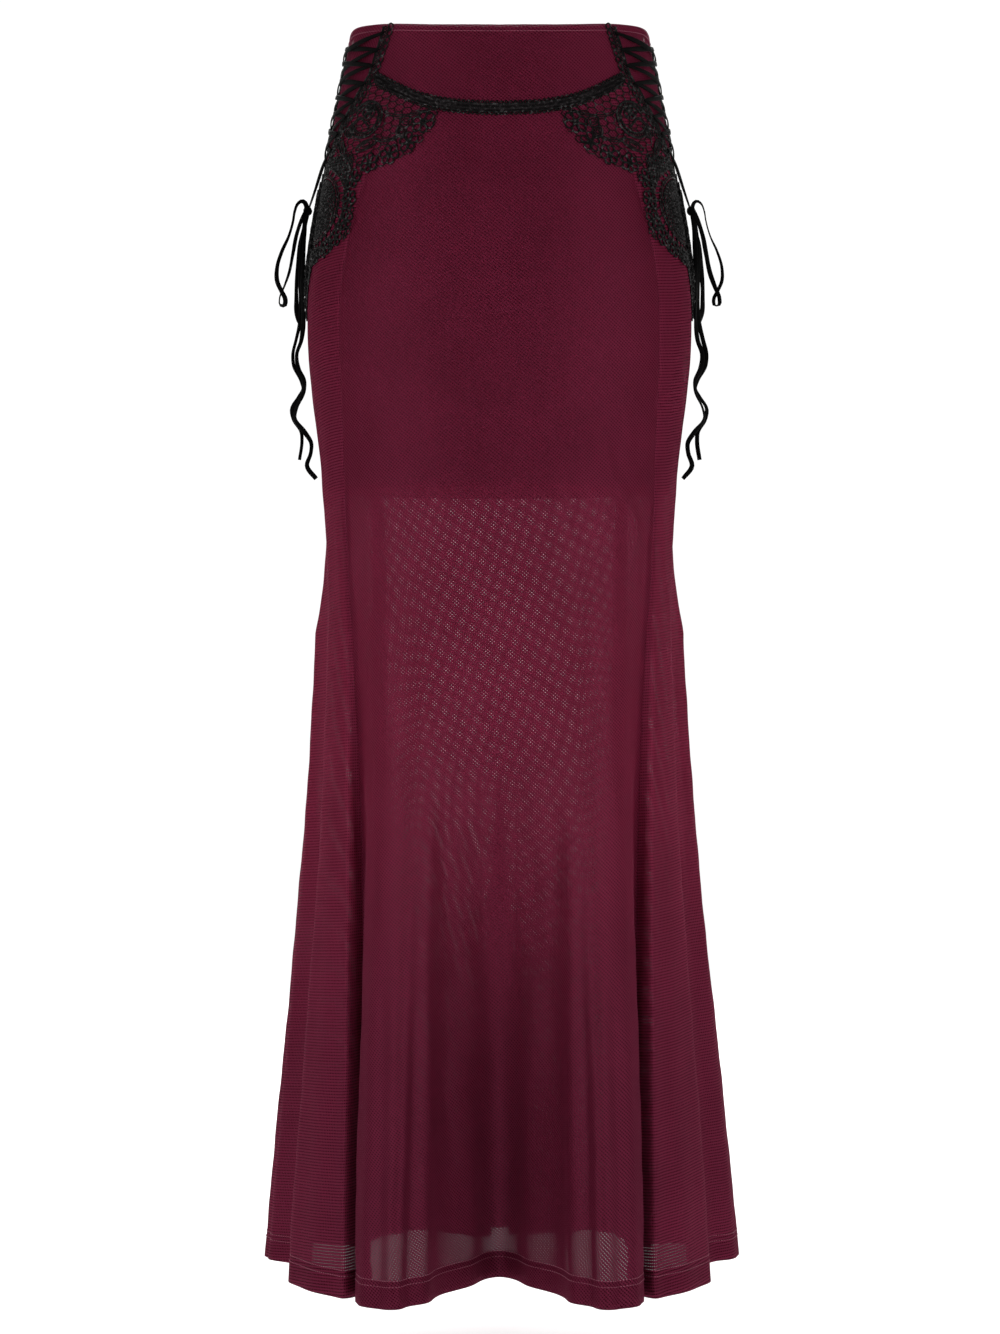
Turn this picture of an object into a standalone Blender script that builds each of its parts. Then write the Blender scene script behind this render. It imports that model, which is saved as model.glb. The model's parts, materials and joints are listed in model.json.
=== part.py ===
"""Mermaid fishtail skirt of sheer stretch mesh, worn, with laced hips.

Frame: +Z up, the front faces -Y, the origin is the middle of the waist at the
height of its front edge.  Metres.

Three ways of giving a place on the cloth are used below.
  share      how far round the figure: 0 centre front, 1 side line, 2 centre back,
             negative on the wearer's right (-X).
  drop       how far below the waist edge.
  from_side  arc length from the side line, towards the front (+) or back (-).
"""
import math
from collections import namedtuple

import bpy
import numpy as np
from mathutils import Vector
from mathutils.geometry import delaunay_2d_cdt

# ---------------------------------------------------------------- driving sizes
LENGTH = 0.983            # waist edge to hem
WALL = 0.0012             # thickness of the mesh cloth
SEAM_GAP = 0.0003         # left between neighbouring pieces
FLARE_START = 0.415       # drop at which the folds begin to open
GODET_START = 0.500       # drop at which the centre-back godet begins to open
FLARE_SOFTNESS = 0.05     # how gradually a fold leaves the column
KNEE_TOP = 0.340          # no fold opens above this drop
KNEE_END = 0.470          # from here down the folds open at an even rate
KNEE_SEAM_SHARE = 0.71    # place of the front princess seam from the knee down
BACK_SEAM_SHARE = 1.47    # place of the back princess seam
YOKE_END_SHARE = 0.595    # bottom corner of the yoke, at the front lacing border
WAIST_BORDER_SHARE = 0.54  # where that border meets the waist edge
BRAID_END_SHARE = 0.566   # the braid stops just short of the border strip
LACE_CORNER_SHARE = 0.575  # and the front lace runs along the braid from here
LACE_END_SHARE = 0.245    # to here
LACING_END_DROP = 0.134   # bottom point of the laced opening, on the side line

LINING_TOP = 0.004        # the lining is sewn in just under the waist edge
LINING_HEM = 0.360
LINING_EASE = 0.0040      # between the mesh cloth and the lining
LINING_WALL = 0.0010

TRIM_LIFT = 0.0005        # lace and braid lie this far off the cloth
LACE_WALL = 0.0010
BORDER_WIDTH = 0.0070     # lace strip that carries the lacing loops
SCALLOP_PITCH = 0.0085
SCALLOP_RISE = 0.0026
SCALLOP_SHOULDERS = (0.28, 0.72)  # where along a scallop its two shoulders stand
SCALLOP_SHOULDER_RISE = 0.9       # and how much of its rise they have
FLOWER_EDGE = 0.0135      # flowers fill this much of the lace along its outer edge
MESH_CELL_HALF_WIDTH = 0.0038
MESH_CELL_HALF_HEIGHT = 0.0026
MESH_BAR = 0.0018
MESH_EDGE_MARGIN = 0.0012  # more than half a cell between a cell and the lace's edge
MOTIF_MARGIN = 0.6        # share of half a cell kept clear round a worked motif

BRAID_WIDTH = 0.0084
BRAID_WALL = 0.0014

CORD = 0.0027             # diameter of the lacing cord
CORD_STEP = 0.0080        # spacing of the points of a free cord
LACING_STEP = 0.0140      # spacing of the points of the lacing

FOLD_STEPS = 3            # columns of the wall between two rows of the hem table
BACK_FOLD_STEPS = 2
YOKE_SIDE_STEPS = 3       # columns of a side-front panel under the yoke's end
LACING_STEPS = 10         # and under its lacing insert
UPPER_ROWS = 3            # rows of points down the yoke and the lacing inserts
LINING_COLUMNS = 32
LINING_LEVELS = (0.0, 0.20, 0.45, 0.72, 1.0)  # rows, as shares of its length
OPENING_EDGE_POINTS = 12  # points of the lace outlines, stretch by stretch
PARTING_POINTS = 5
UNDER_BRAID_POINTS = 9
BESIDE_YOKE_POINTS = 3
BACK_PARTING_POINTS = 7
BRAID_COLUMNS = 31

# ---------------------------------------------------------------- figure sections
Section = namedtuple("Section", "drop half_width front back squareness")
FIGURE = (
    Section(0.000, 0.1200, 0.0880, 0.0900, 2.45),
    Section(0.020, 0.1232, 0.0905, 0.0945, 2.42),
    Section(0.040, 0.1270, 0.0930, 0.0995, 2.38),
    Section(0.080, 0.1350, 0.0980, 0.1100, 2.30),
    Section(0.120, 0.1414, 0.1020, 0.1210, 2.24),
    Section(0.160, 0.1482, 0.1050, 0.1300, 2.20),
    Section(0.200, 0.1528, 0.1070, 0.1360, 2.18),
    Section(0.240, 0.1532, 0.1070, 0.1380, 2.16),
    Section(0.280, 0.1500, 0.1060, 0.1345, 2.14),
    Section(0.320, 0.1448, 0.1045, 0.1275, 2.12),
    Section(0.360, 0.1412, 0.1030, 0.1205, 2.10),
    Section(0.400, 0.1384, 0.1020, 0.1155, 2.08),
    Section(0.460, 0.1352, 0.1010, 0.1120, 2.05),
    Section(0.983, 0.1330, 0.1000, 0.1100, 2.00),
)

# Waist edge: how far its top lies above (-) or below (+) the front centre.
WaistEdge = namedtuple("WaistEdge", "share drop")
WAIST_EDGE = (
    WaistEdge(0.00, 0.0000), WaistEdge(0.30, -0.0010), WaistEdge(0.600, -0.0045),
    WaistEdge(0.80, -0.0050), WaistEdge(1.00, 0.0010), WaistEdge(1.30, 0.0000),
    WaistEdge(2.00, 0.0000),
)

# The yoke seam, a shallow bow across the front, under the braid.
YokeLine = namedtuple("YokeLine", "share drop")
YOKE_LINE = (
    YokeLine(0.000, 0.0665), YokeLine(0.195, 0.0640), YokeLine(0.354, 0.0570),
    YokeLine(0.470, 0.0475), YokeLine(0.595, 0.0360),
)

# Front princess seam above the knee, as arc length from the side line.
FrontSeam = namedtuple("FrontSeam", "drop from_side")
FRONT_SEAM = (
    FrontSeam(0.040, 0.0970), FrontSeam(0.080, 0.0910), FrontSeam(0.120, 0.0845),
    FrontSeam(0.160, 0.0785), FrontSeam(0.200, 0.0750), FrontSeam(0.242, 0.0734),
    FrontSeam(0.305, 0.0658), FrontSeam(0.368, 0.0580), FrontSeam(0.446, 0.0545),
)

# Plan of the hem: where each fold ends, and how much shorter the cloth is there.
HemFold = namedtuple("HemFold", "name share x y rise opens_at")
HEM = (
    HemFold("front_centre", 0.00, 0.000, -0.062, 0.006, FLARE_START),
    HemFold("front_slope", 0.20, 0.040, -0.110, 0.002, FLARE_START),
    HemFold("front_lobe", 0.42, 0.081, -0.178, 0.000, FLARE_START),
    HemFold("front_lobe_edge", 0.54, 0.106, -0.160, 0.000, FLARE_START),
    HemFold("front_seam_valley", 0.71, 0.103, -0.102, 0.000, FLARE_START),
    HemFold("side_front_lobe", 0.79, 0.122, -0.126, 0.000, FLARE_START),
    HemFold("side_front_face", 0.86, 0.149, -0.088, 0.000, FLARE_START),
    HemFold("side_front_edge", 0.93, 0.165, -0.034, 0.000, FLARE_START),
    HemFold("side_valley", 1.00, 0.152, 0.014, 0.000, FLARE_START),
    HemFold("side_back_inner", 1.08, 0.168, 0.042, 0.000, 0.340),
    HemFold("side_back_lobe", 1.17, 0.1935, 0.072, 0.000, 0.250),
    HemFold("side_back_face", 1.27, 0.182, 0.122, 0.000, 0.250),
    HemFold("side_back_turn", 1.37, 0.146, 0.152, 0.000, 0.300),
    HemFold("back_seam_valley", 1.47, 0.112, 0.130, 0.000, 0.370),
    HemFold("back_rise", 1.57, 0.104, 0.178, 0.000, FLARE_START),
    HemFold("back_lobe", 1.68, 0.078, 0.222, 0.000, FLARE_START),
    HemFold("back_slope", 1.80, 0.042, 0.206, 0.000, 0.440),
    HemFold("godet_neck", 1.90, 0.009, 0.200, 0.000, 0.480),
    HemFold("godet_head", 1.955, 0.026, 0.226, 0.000, GODET_START),
    HemFold("godet_centre", 2.00, 0.000, 0.240, 0.000, GODET_START),
)

# Levels of the wall's rows, as drops of a full-length column.
WALL_LEVELS = (0.0, 0.04, 0.09, 0.15, 0.21, 0.27, 0.33, 0.40, 0.47, 0.56, 0.72, 0.983)

# ---------------------------------------------------------------- lace on the hips
# Scalloped outer edge of the front lace, from the braid to the tip on the side line.
LaceEdge = namedtuple("LaceEdge", "from_side drop")
FRONT_LACE_EDGE = (
    LaceEdge(0.1405, 0.0715), LaceEdge(0.1370, 0.0800), LaceEdge(0.1300, 0.0930),
    LaceEdge(0.1240, 0.1000), LaceEdge(0.1080, 0.1080), LaceEdge(0.0930, 0.1118),
    LaceEdge(0.0830, 0.1150), LaceEdge(0.0795, 0.1230), LaceEdge(0.0805, 0.1400),
    LaceEdge(0.0795, 0.1610), LaceEdge(0.0730, 0.1650), LaceEdge(0.0640, 0.1685),
    LaceEdge(0.0560, 0.1750), LaceEdge(0.0430, 0.1785), LaceEdge(0.0240, 0.1815),
    LaceEdge(0.0165, 0.1990), LaceEdge(0.0055, 0.2200),
)
BACK_LACE_EDGE = (
    LaceEdge(-0.0080, 0.0030), LaceEdge(-0.0085, 0.1100), LaceEdge(-0.0150, 0.1500),
    LaceEdge(-0.0160, 0.1830), LaceEdge(-0.0050, 0.2200),
)
LACE_TIP_DROP = 0.224
LACE_PARTING = 0.0004     # the front and back lace meet this far from the side line

# Motifs that stay solid in the mesh ground: worked scrolls, leaves and a rosette.
Motif = namedtuple("Motif", "name from_side drop half_width half_height")
FRONT_MOTIFS = (
    Motif("scroll_upper", 0.0800, 0.0600, 0.0120, 0.0050),
    Motif("scroll_turn", 0.0930, 0.0700, 0.0055, 0.0085),
    Motif("scroll_lower", 0.0800, 0.0810, 0.0130, 0.0045),
    Motif("leaf", 0.0820, 0.0930, 0.0120, 0.0045),
    Motif("bud", 0.1120, 0.0830, 0.0060, 0.0060),
    Motif("rosette", 0.0330, 0.1430, 0.0270, 0.0250),
)
GROUND_POINT_PITCH = 0.0130     # spacing of the lace's points in its uncut parts
GROUND_POINT_MARGIN = 0.0034    # and how far they keep from its edges
GROUND_POINT_CLEAR = 0.0062     # and from the middle of a cell
LACE_TOP_BELOW_WAIST = 0.0006

# ---------------------------------------------------------------- lacing
LacingRow = namedtuple("LacingRow", "front_drop back_drop")
LACING_ROWS = (
    LacingRow(0.0035, 0.0050), LacingRow(0.0165, 0.0170), LacingRow(0.0285, 0.0290),
    LacingRow(0.0420, 0.0430), LacingRow(0.0545, 0.0560), LacingRow(0.0665, 0.0690),
    LacingRow(0.0785, 0.0820), LacingRow(0.0905, 0.0945),
)
LACING_BACK_FROM_SIDE = -0.0035
LACING_OVER = 0.0066      # cord centre above the cloth where it crosses on top
LACING_UNDER = 0.0027     # and where it runs underneath
LACING_AT_LOOP = 0.0032   # and on the lace borders

# From its last loop each strand runs down to the knot of the bow and ends against it.
FootPoint = namedtuple("FootPoint", "from_side drop lift")
LACING_FROM_BACK = (
    FootPoint(-0.0046, 0.1065, 0.0042), FootPoint(-0.0036, 0.1185, 0.0062),
    FootPoint(-0.0024, 0.1302, 0.0080),
)
LACING_FROM_FRONT = (
    FootPoint(0.0180, 0.1030, 0.0040), FootPoint(0.0085, 0.1165, 0.0060),
    FootPoint(0.0020, 0.1302, 0.0080),
)

# The bow at the bottom of the lacing, on the +X hip: x outwards, y, drop, in mm.
KNOT_CENTRE_MM = (153.4, 0.0, 134.0)
KNOT_RADIUS = 0.0038
KNOT_LENGTH = 0.0130
KNOT_SIDES = 10
KnotRing = namedtuple("KnotRing", "along width")  # as shares of half length and of radius
KNOT_PROFILE = (
    KnotRing(-1.0, 0.45), KnotRing(-0.72, 0.92), KnotRing(0.0, 1.0), KnotRing(0.72, 0.92),
    KnotRing(1.0, 0.45),
)
RoutePoint = namedtuple("RoutePoint", "x y drop")
LONG_LOOP_MM = (
    RoutePoint(155.4, -2.0, 128.0), RoutePoint(157.6, -3.0, 126.6),
    RoutePoint(160.8, -4.5, 128.6), RoutePoint(163.4, -6.5, 135.0),
    RoutePoint(164.6, -8.5, 143.0), RoutePoint(168.0, -12.0, 156.0),
    RoutePoint(173.0, -16.0, 168.0), RoutePoint(176.6, -20.0, 181.0),
    RoutePoint(176.4, -23.0, 193.0), RoutePoint(172.6, -24.6, 201.5),
    RoutePoint(170.0, -23.8, 207.0), RoutePoint(171.0, -21.6, 212.0),
    RoutePoint(174.4, -20.2, 211.4), RoutePoint(174.8, -19.2, 206.0),
    RoutePoint(171.4, -18.0, 197.0), RoutePoint(167.4, -15.6, 185.0),
    RoutePoint(164.6, -13.0, 170.0), RoutePoint(161.6, -11.0, 154.0),
    RoutePoint(157.6, -10.4, 142.0), RoutePoint(154.6, -8.6, 135.6),
)
SHORT_LOOP_MM = (
    RoutePoint(154.8, 4.9, 138.9), RoutePoint(156.6, 7.0, 147.0),
    RoutePoint(160.2, 10.5, 161.0), RoutePoint(162.4, 14.0, 181.0),
    RoutePoint(163.4, 16.5, 201.0), RoutePoint(162.4, 19.0, 216.0),
    RoutePoint(159.8, 22.0, 221.6), RoutePoint(158.4, 24.8, 215.0),
    RoutePoint(158.0, 25.6, 199.0), RoutePoint(157.8, 23.6, 179.0),
    RoutePoint(157.2, 19.0, 159.0), RoutePoint(155.8, 13.0, 143.0),
    RoutePoint(154.4, 8.8, 135.4),
)
TAIL_A_MM = (
    RoutePoint(155.0, 1.7, 138.9), RoutePoint(157.6, 2.4, 152.0),
    RoutePoint(159.0, 3.4, 173.0), RoutePoint(159.2, 4.0, 197.0),
    RoutePoint(159.6, 4.4, 222.0), RoutePoint(163.0, 4.6, 237.0),
    RoutePoint(165.6, 4.8, 249.0), RoutePoint(165.0, 5.0, 257.0),
    RoutePoint(158.2, 5.4, 270.0), RoutePoint(156.8, 5.6, 276.0),
    RoutePoint(160.2, 6.0, 282.0), RoutePoint(166.2, 6.2, 293.0),
    RoutePoint(164.8, 6.4, 300.0), RoutePoint(158.8, 6.6, 311.0),
    RoutePoint(158.4, 6.8, 318.0), RoutePoint(160.4, 7.0, 333.0),
)
TAIL_B_MM = (
    RoutePoint(155.0, -1.7, 138.9), RoutePoint(155.8, -1.6, 152.0),
    RoutePoint(156.8, -1.4, 172.0), RoutePoint(157.4, -1.0, 200.0),
    RoutePoint(157.2, -0.6, 228.0), RoutePoint(158.6, -0.4, 238.0),
    RoutePoint(162.2, -0.2, 249.0), RoutePoint(160.6, 0.2, 261.0),
    RoutePoint(156.4, 0.6, 270.0), RoutePoint(156.6, 0.9, 278.0),
    RoutePoint(162.6, 1.2, 292.0), RoutePoint(164.0, 1.4, 299.0),
    RoutePoint(155.6, 1.2, 311.5), RoutePoint(150.6, 0.6, 320.0),
    RoutePoint(151.0, 0.0, 328.0), RoutePoint(154.0, -0.6, 338.0),
    RoutePoint(146.6, -1.2, 348.5),
)

# ---------------------------------------------------------------- materials
Finish = namedtuple("Finish", "colour roughness")
MESH_CLOTH = Finish((0.130, 0.012, 0.036), 0.75)
LINING_CLOTH = Finish((0.060, 0.005, 0.016), 0.80)
BLACK_LACE = Finish((0.010, 0.010, 0.011), 0.70)
BLACK_BRAID = Finish((0.012, 0.012, 0.013), 0.65)
BLACK_CORD = Finish((0.006, 0.006, 0.007), 0.60)

MM = 0.001
QUARTER_SAMPLES = 41      # points used to measure a quarter of a section
ROUTE_SAMPLES = 400       # points used to measure a cord's route
COLUMN_ROUNDS = 25        # rounds in which a column is traced up to its seam
HALVINGS = 40             # halvings in which a share is found
NUDGE = 0.002             # step used to find the cloth's direction at a place
MITRE_LIMIT = 1.8         # most that a wall is thickened at a fold's edge


# ================================================================ tables and curves
def smooth(places, values, at):
    """A soft curve through a table's points, read at one or many places."""
    places, values = np.asarray(places, float), np.asarray(values, float)
    slopes = np.gradient(values, places)
    at = np.clip(at, places[0], places[-1])
    low = np.clip(np.searchsorted(places, at) - 1, 0, len(places) - 2)
    width = places[low + 1] - places[low]
    t = (at - places[low]) / width
    return ((1 + 2 * t) * (1 - t) ** 2 * values[low]
            + t * (1 - t) ** 2 * width * slopes[low]
            + t * t * (3 - 2 * t) * values[low + 1]
            + t * t * (t - 1) * width * slopes[low + 1])


def column_of(table, name):
    """One named column of a table."""
    return [getattr(row, name) for row in table]


def figure_size(name, drop):
    """One size of the figure's section at a drop."""
    return smooth(column_of(FIGURE, "drop"), column_of(FIGURE, name), drop)


def section_radius(angle, half_width, depth, squareness):
    """Distance from the axis to a squarish oval, at an angle from its middle."""
    across = np.abs(np.sin(angle)) / half_width
    along = np.abs(np.cos(angle)) / depth
    return (across ** squareness + along ** squareness) ** (-1.0 / squareness)


def measured_quarter(drop, in_front):
    """Angles and running arc lengths of a quarter, from its middle to the side."""
    half_width = figure_size("half_width", drop)
    depth = np.where(in_front, figure_size("front", drop), figure_size("back", drop))
    squareness = figure_size("squareness", drop)
    angles = np.linspace(0.0, math.pi / 2, QUARTER_SAMPLES)[None, :]
    sizes = (half_width[:, None], depth[:, None], squareness[:, None])
    radius = section_radius(angles, *sizes)
    x, y = radius * np.sin(angles), radius * np.cos(angles)
    steps = np.hypot(np.diff(x, axis=1), np.diff(y, axis=1))
    running = np.concatenate([np.zeros((len(steps), 1)), np.cumsum(steps, axis=1)], axis=1)
    return running, (half_width, depth, squareness)


def quarter_length(drop, in_front=True):
    """Arc length from the centre line to the side line."""
    running, _ = measured_quarter(np.atleast_1d(np.asarray(drop, float)), in_front)
    return running[:, -1]


def figure_plan(share, drop):
    """x and y of the unflared column, for shares from 0 to 2."""
    in_front = share <= 1.0
    running, sizes = measured_quarter(drop, in_front)
    part = np.where(in_front, share, 2.0 - share)
    wanted = np.clip(part, 0.0, 1.0) * running[:, -1]
    low = np.clip((running <= wanted[:, None]).sum(axis=1) - 1, 0, QUARTER_SAMPLES - 2)
    rows = np.arange(len(drop))
    start, end = running[rows, low], running[rows, low + 1]
    step = (math.pi / 2) / (QUARTER_SAMPLES - 1)
    angle = (low + (wanted - start) / (end - start)) * step
    radius = section_radius(angle, *sizes)
    x = radius * np.sin(angle)
    y = np.where(in_front, -1.0, 1.0) * radius * np.cos(angle)
    return x, y


def folded_side(share):
    """Share brought to 0..2, and +1 or -1 for the side it lies on."""
    turned = np.mod(share + 2.0, 4.0) - 2.0
    return np.abs(turned), np.where(turned < 0.0, -1.0, 1.0)


def mirrored_table(table, name, sign):
    """A hem column carried on past both centre lines."""
    shares, values = column_of(table, "share"), column_of(table, name)
    before = [-share for share in shares[2:0:-1]]
    after = [4.0 - share for share in shares[-2:-4:-1]]
    mirrored_before = [sign * value for value in values[2:0:-1]]
    mirrored_after = [sign * value for value in values[-2:-4:-1]]
    return before + shares + after, mirrored_before + values + mirrored_after


def hem_value(name, share, sign=1.0):
    """One column of the hem table at a share from 0 to 2."""
    return smooth(*mirrored_table(HEM, name, sign), share)


def share_above_knee(share, drop):
    """Where a column that has this share at the hem lies higher up."""
    from_side = smooth(column_of(FRONT_SEAM, "drop"), column_of(FRONT_SEAM, "from_side"), drop)
    seam = 1.0 - from_side / quarter_length(drop)
    in_front = share * seam / KNEE_SEAM_SHARE
    beside = 1.0 - (1.0 - share) * (1.0 - seam) / (1.0 - KNEE_SEAM_SHARE)
    moved = np.where(share < KNEE_SEAM_SHARE, in_front, beside)
    return np.where(share < 1.0, moved, share)


def skirt_place(share, drop):
    """Points on the cloth's outer face, columns named by their share at the hem."""
    share, drop = np.broadcast_arrays(np.asarray(share, float), np.asarray(drop, float))
    share, drop = share.ravel(), drop.ravel()
    part, side = folded_side(share)
    x, y = figure_plan(share_above_knee(part, drop), drop)
    hem_drop = np.full_like(drop, LENGTH)
    straight_x, straight_y = figure_plan(part, hem_drop)
    opens_at = hem_value("opens_at", part)
    along = (drop - opens_at) / (LENGTH - opens_at)
    opened = (along + np.sqrt(along ** 2 + FLARE_SOFTNESS ** 2)) / 2
    opened = opened * np.clip((drop - KNEE_TOP) / (KNEE_END - KNEE_TOP), 0.0, 1.0)
    x = x + opened * (hem_value("x", part, -1.0) - straight_x)
    y = y + opened * (hem_value("y", part) - straight_y)
    return np.stack([side * x, y, -drop], axis=1)


def hip_place(from_side, drop, side=1.0):
    """Points on the cloth above the flare, by arc length from the side line."""
    from_side, drop = np.broadcast_arrays(np.asarray(from_side, float), np.asarray(drop, float))
    from_side, drop = from_side.ravel(), drop.ravel()
    lengths = np.where(from_side >= 0, quarter_length(drop), quarter_length(drop, False))
    x, y = figure_plan(1.0 - from_side / lengths, drop)
    return np.stack([side * x, y, -drop], axis=1)


def unit(vectors):
    """Vectors brought to length 1."""
    return vectors / np.linalg.norm(vectors, axis=1)[:, None]


def fold_frame(place, before, across, after, drop):
    """Points, directions across the cloth, and normals, longer where a fold is mitred."""
    here = place(across, drop)
    ahead = unit(place(after, drop) - here)
    run = unit(unit(here - place(before, drop)) + ahead)
    downwards = place(across, drop + NUDGE) - place(across, drop - NUDGE)
    openness = np.clip((run * ahead).sum(axis=1), 1.0 / MITRE_LIMIT, 1.0)
    return here, run, unit(np.cross(downwards, run)) / openness[:, None]


def lifted(place, across, drop, lift, turned=1.0):
    """Points of a place function, moved off the cloth along its normal."""
    across, drop = np.asarray(across, float), np.asarray(drop, float)
    here, _, normal = fold_frame(place, across - NUDGE, across, across + NUDGE, drop)
    return here + normal * lift * turned


# ================================================================ meshes
def add_object(name, points, faces, material):
    """A named mesh object with one material."""
    mesh = bpy.data.meshes.new(name)
    mesh.from_pydata([tuple(point) for point in points], [], faces)
    mesh.validate()
    mesh.materials.append(material)
    mesh.shade_smooth()
    thing = bpy.data.objects.new(name, mesh)
    bpy.context.collection.objects.link(thing)
    return thing


def grid_faces(columns, rows, closed):
    """Triangles of a grid's outer side, and the columns that border each other."""
    pairs = [(i, i + 1) for i in range(columns - 1)]
    if closed:
        pairs.append((columns - 1, 0))
    faces = []
    for left, right in pairs:
        for row in range(rows - 1):
            a, b = left * rows + row, right * rows + row
            faces += [(a, a + 1, b + 1), (a, b + 1, b)]
    return faces, pairs


def add_wall(name, outer, inner, columns, rows, material, closed=False):
    """A wall between two grids of points, closed round its edges."""
    faces, pairs = grid_faces(columns, rows, closed)
    shift = columns * rows
    faces += [(c + shift, b + shift, a + shift) for a, b, c in faces]
    for left, right in pairs:
        top_a, top_b = left * rows, right * rows
        end_a, end_b = top_a + rows - 1, top_b + rows - 1
        faces += [(top_a, top_b, top_b + shift), (top_a, top_b + shift, top_a + shift)]
        faces += [(end_b, end_a, end_a + shift), (end_b, end_a + shift, end_b + shift)]
    if not closed:
        for row in range(rows - 1):
            a, b = row, (columns - 1) * rows + row
            faces += [(a + 1, a, a + shift), (a + 1, a + shift, a + 1 + shift)]
            faces += [(b, b + 1, b + 1 + shift), (b, b + 1 + shift, b + shift)]
    return add_object(name, list(outer) + list(inner), faces, material)


def waist_drop(share):
    """Drop of the waist edge."""
    return smooth(column_of(WAIST_EDGE, "share"), column_of(WAIST_EDGE, "drop"), np.abs(share))


def panel_top(share):
    """Drop of the seam along the top of the panels below yoke and lacing."""
    share = np.abs(share)
    yoke = smooth(column_of(YOKE_LINE, "share"), column_of(YOKE_LINE, "drop"), share)
    end = YOKE_LINE[-1].drop
    sloped = end + (share - YOKE_END_SHARE) / (1.0 - YOKE_END_SHARE) * (LACING_END_DROP - end)
    return np.where(share <= YOKE_END_SHARE, yoke, sloped)


def top_of_column(share):
    """Share and drop at which a panel's column meets its top seam."""
    share = np.atleast_1d(np.asarray(share, float))
    part, side = folded_side(share)
    drop = np.full_like(part, LACING_END_DROP / 2)
    for _ in range(COLUMN_ROUNDS):
        drop = panel_top(share_above_knee(part, drop))
    return share_above_knee(part, drop) * side, drop


def hem_shares(first, last, steps):
    """Column places between two shares, several for each fold of the hem."""
    shares = sorted({row.share for row in HEM} | {4.0 - row.share for row in HEM})
    inside = [share for share in shares if first - 1e-6 <= share <= last + 1e-6]
    places = []
    for low, high in zip(inside, inside[1:]):
        places += [low + (high - low) * k / steps for k in range(steps)]
    return places + [inside[-1]]


def panel_grid(shares, tops):
    """Drops of each column's rows: from its top to its own hem."""
    levels = np.array(WALL_LEVELS) / WALL_LEVELS[-1]
    part, _ = folded_side(np.asarray(shares, float))
    bottoms = LENGTH - hem_value("rise", part)
    return np.array([top + (bottom - top) * levels for top, bottom in zip(tops, bottoms)])


def wall_faces(place, before, across, after, drops, columns):
    """Outer and inner face of a cut piece, its ends half a seam gap short."""
    here, run, normal = fold_frame(place, before, across, after, drops)
    short = np.zeros((columns, len(drops) // columns, 1))
    short[0], short[-1] = SEAM_GAP / 2, -SEAM_GAP / 2
    outer = here + run * short.reshape(-1, 1)
    return outer, outer - normal * WALL


def add_panel(name, shares, neighbours, tops, material):
    """One cut panel, from its top seam to the hem, between its neighbours' columns."""
    drops = panel_grid(shares, tops)
    columns, rows = drops.shape
    ring = np.concatenate([[neighbours[0]], shares, [neighbours[1]]])
    before, across, after = (np.repeat(ring[k:k + columns], rows) for k in range(3))
    outer, inner = wall_faces(skirt_place, before, across, after, drops.ravel(), columns)
    return add_wall(name, outer, inner, columns, rows, material)


def column_place(share, drop):
    """Points on the unflared column, by share."""
    share, drop = np.broadcast_arrays(np.asarray(share, float), np.asarray(drop, float))
    part, side = folded_side(share.ravel())
    x, y = figure_plan(part, drop.ravel())
    return np.stack([side * x, y, -drop.ravel()], axis=1)


def share_at_waist(share):
    """Share at the waist edge of a yoke or insert column, from that at its foot."""
    part, side = np.abs(share), np.sign(share)
    in_yoke = part * WAIST_BORDER_SHARE / YOKE_END_SHARE
    in_insert = 1.0 - (1.0 - part) * (1.0 - WAIST_BORDER_SHARE) / (1.0 - YOKE_END_SHARE)
    return np.where(part <= YOKE_END_SHARE, in_yoke, in_insert) * side


def add_upper_piece(name, shares, bottoms, material):
    """Yoke or lacing insert: from the waist edge down to a seam."""
    shares = np.asarray(shares, float)
    top_shares = share_at_waist(shares)
    fractions = np.linspace(0.0, 1.0, UPPER_ROWS)[None, :]
    tops = waist_drop(top_shares)[:, None]
    drops = (tops + (bottoms[:, None] - tops) * fractions).ravel()
    across = (top_shares[:, None] + (shares - top_shares)[:, None] * fractions).ravel()
    near = (across - NUDGE, across, across + NUDGE)
    outer, inner = wall_faces(column_place, *near, drops, len(shares))
    return add_wall(name, outer, inner, len(shares), UPPER_ROWS, material)


def add_lining(material):
    """The short lining: a plain tube inside the mesh cloth."""
    drops = LINING_TOP + (LINING_HEM - LINING_TOP) * np.array(LINING_LEVELS)
    shares = np.arange(LINING_COLUMNS) * 4.0 / LINING_COLUMNS - 2.0
    across, levels = np.repeat(shares, len(drops)), np.tile(drops, LINING_COLUMNS)
    outer = lifted(column_place, across, levels, -WALL - LINING_EASE)
    inner = lifted(column_place, across, levels, -WALL - LINING_EASE - LINING_WALL)
    add_wall("lining", outer, inner, LINING_COLUMNS, len(drops), material, closed=True)


# ================================================================ lace
def arc_scallops(anchors, outward_is_left):
    """Points along a path of anchors, with an even row of small scallops on it."""
    path = np.array(anchors, float)
    lengths = np.concatenate([[0.0], np.cumsum(np.linalg.norm(np.diff(path, axis=0), axis=1))])
    count = max(2, round(lengths[-1] / SCALLOP_PITCH))
    stops = np.linspace(0.0, lengths[-1], count + 1)
    posts = np.stack([np.interp(stops, lengths, path[:, k]) for k in (0, 1)], axis=1)
    turn = 1.0 if outward_is_left else -1.0
    shape = [(0.0, 0.0)] + [(t, SCALLOP_SHOULDER_RISE) for t in SCALLOP_SHOULDERS]
    points = []
    for start, end in zip(posts, posts[1:]):
        chord = end - start
        outward = np.array([-chord[1], chord[0]]) / np.linalg.norm(chord) * turn
        for t, height in shape:
            points.append(start + chord * t + outward * SCALLOP_RISE * height)
    return points + [posts[-1]]


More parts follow.
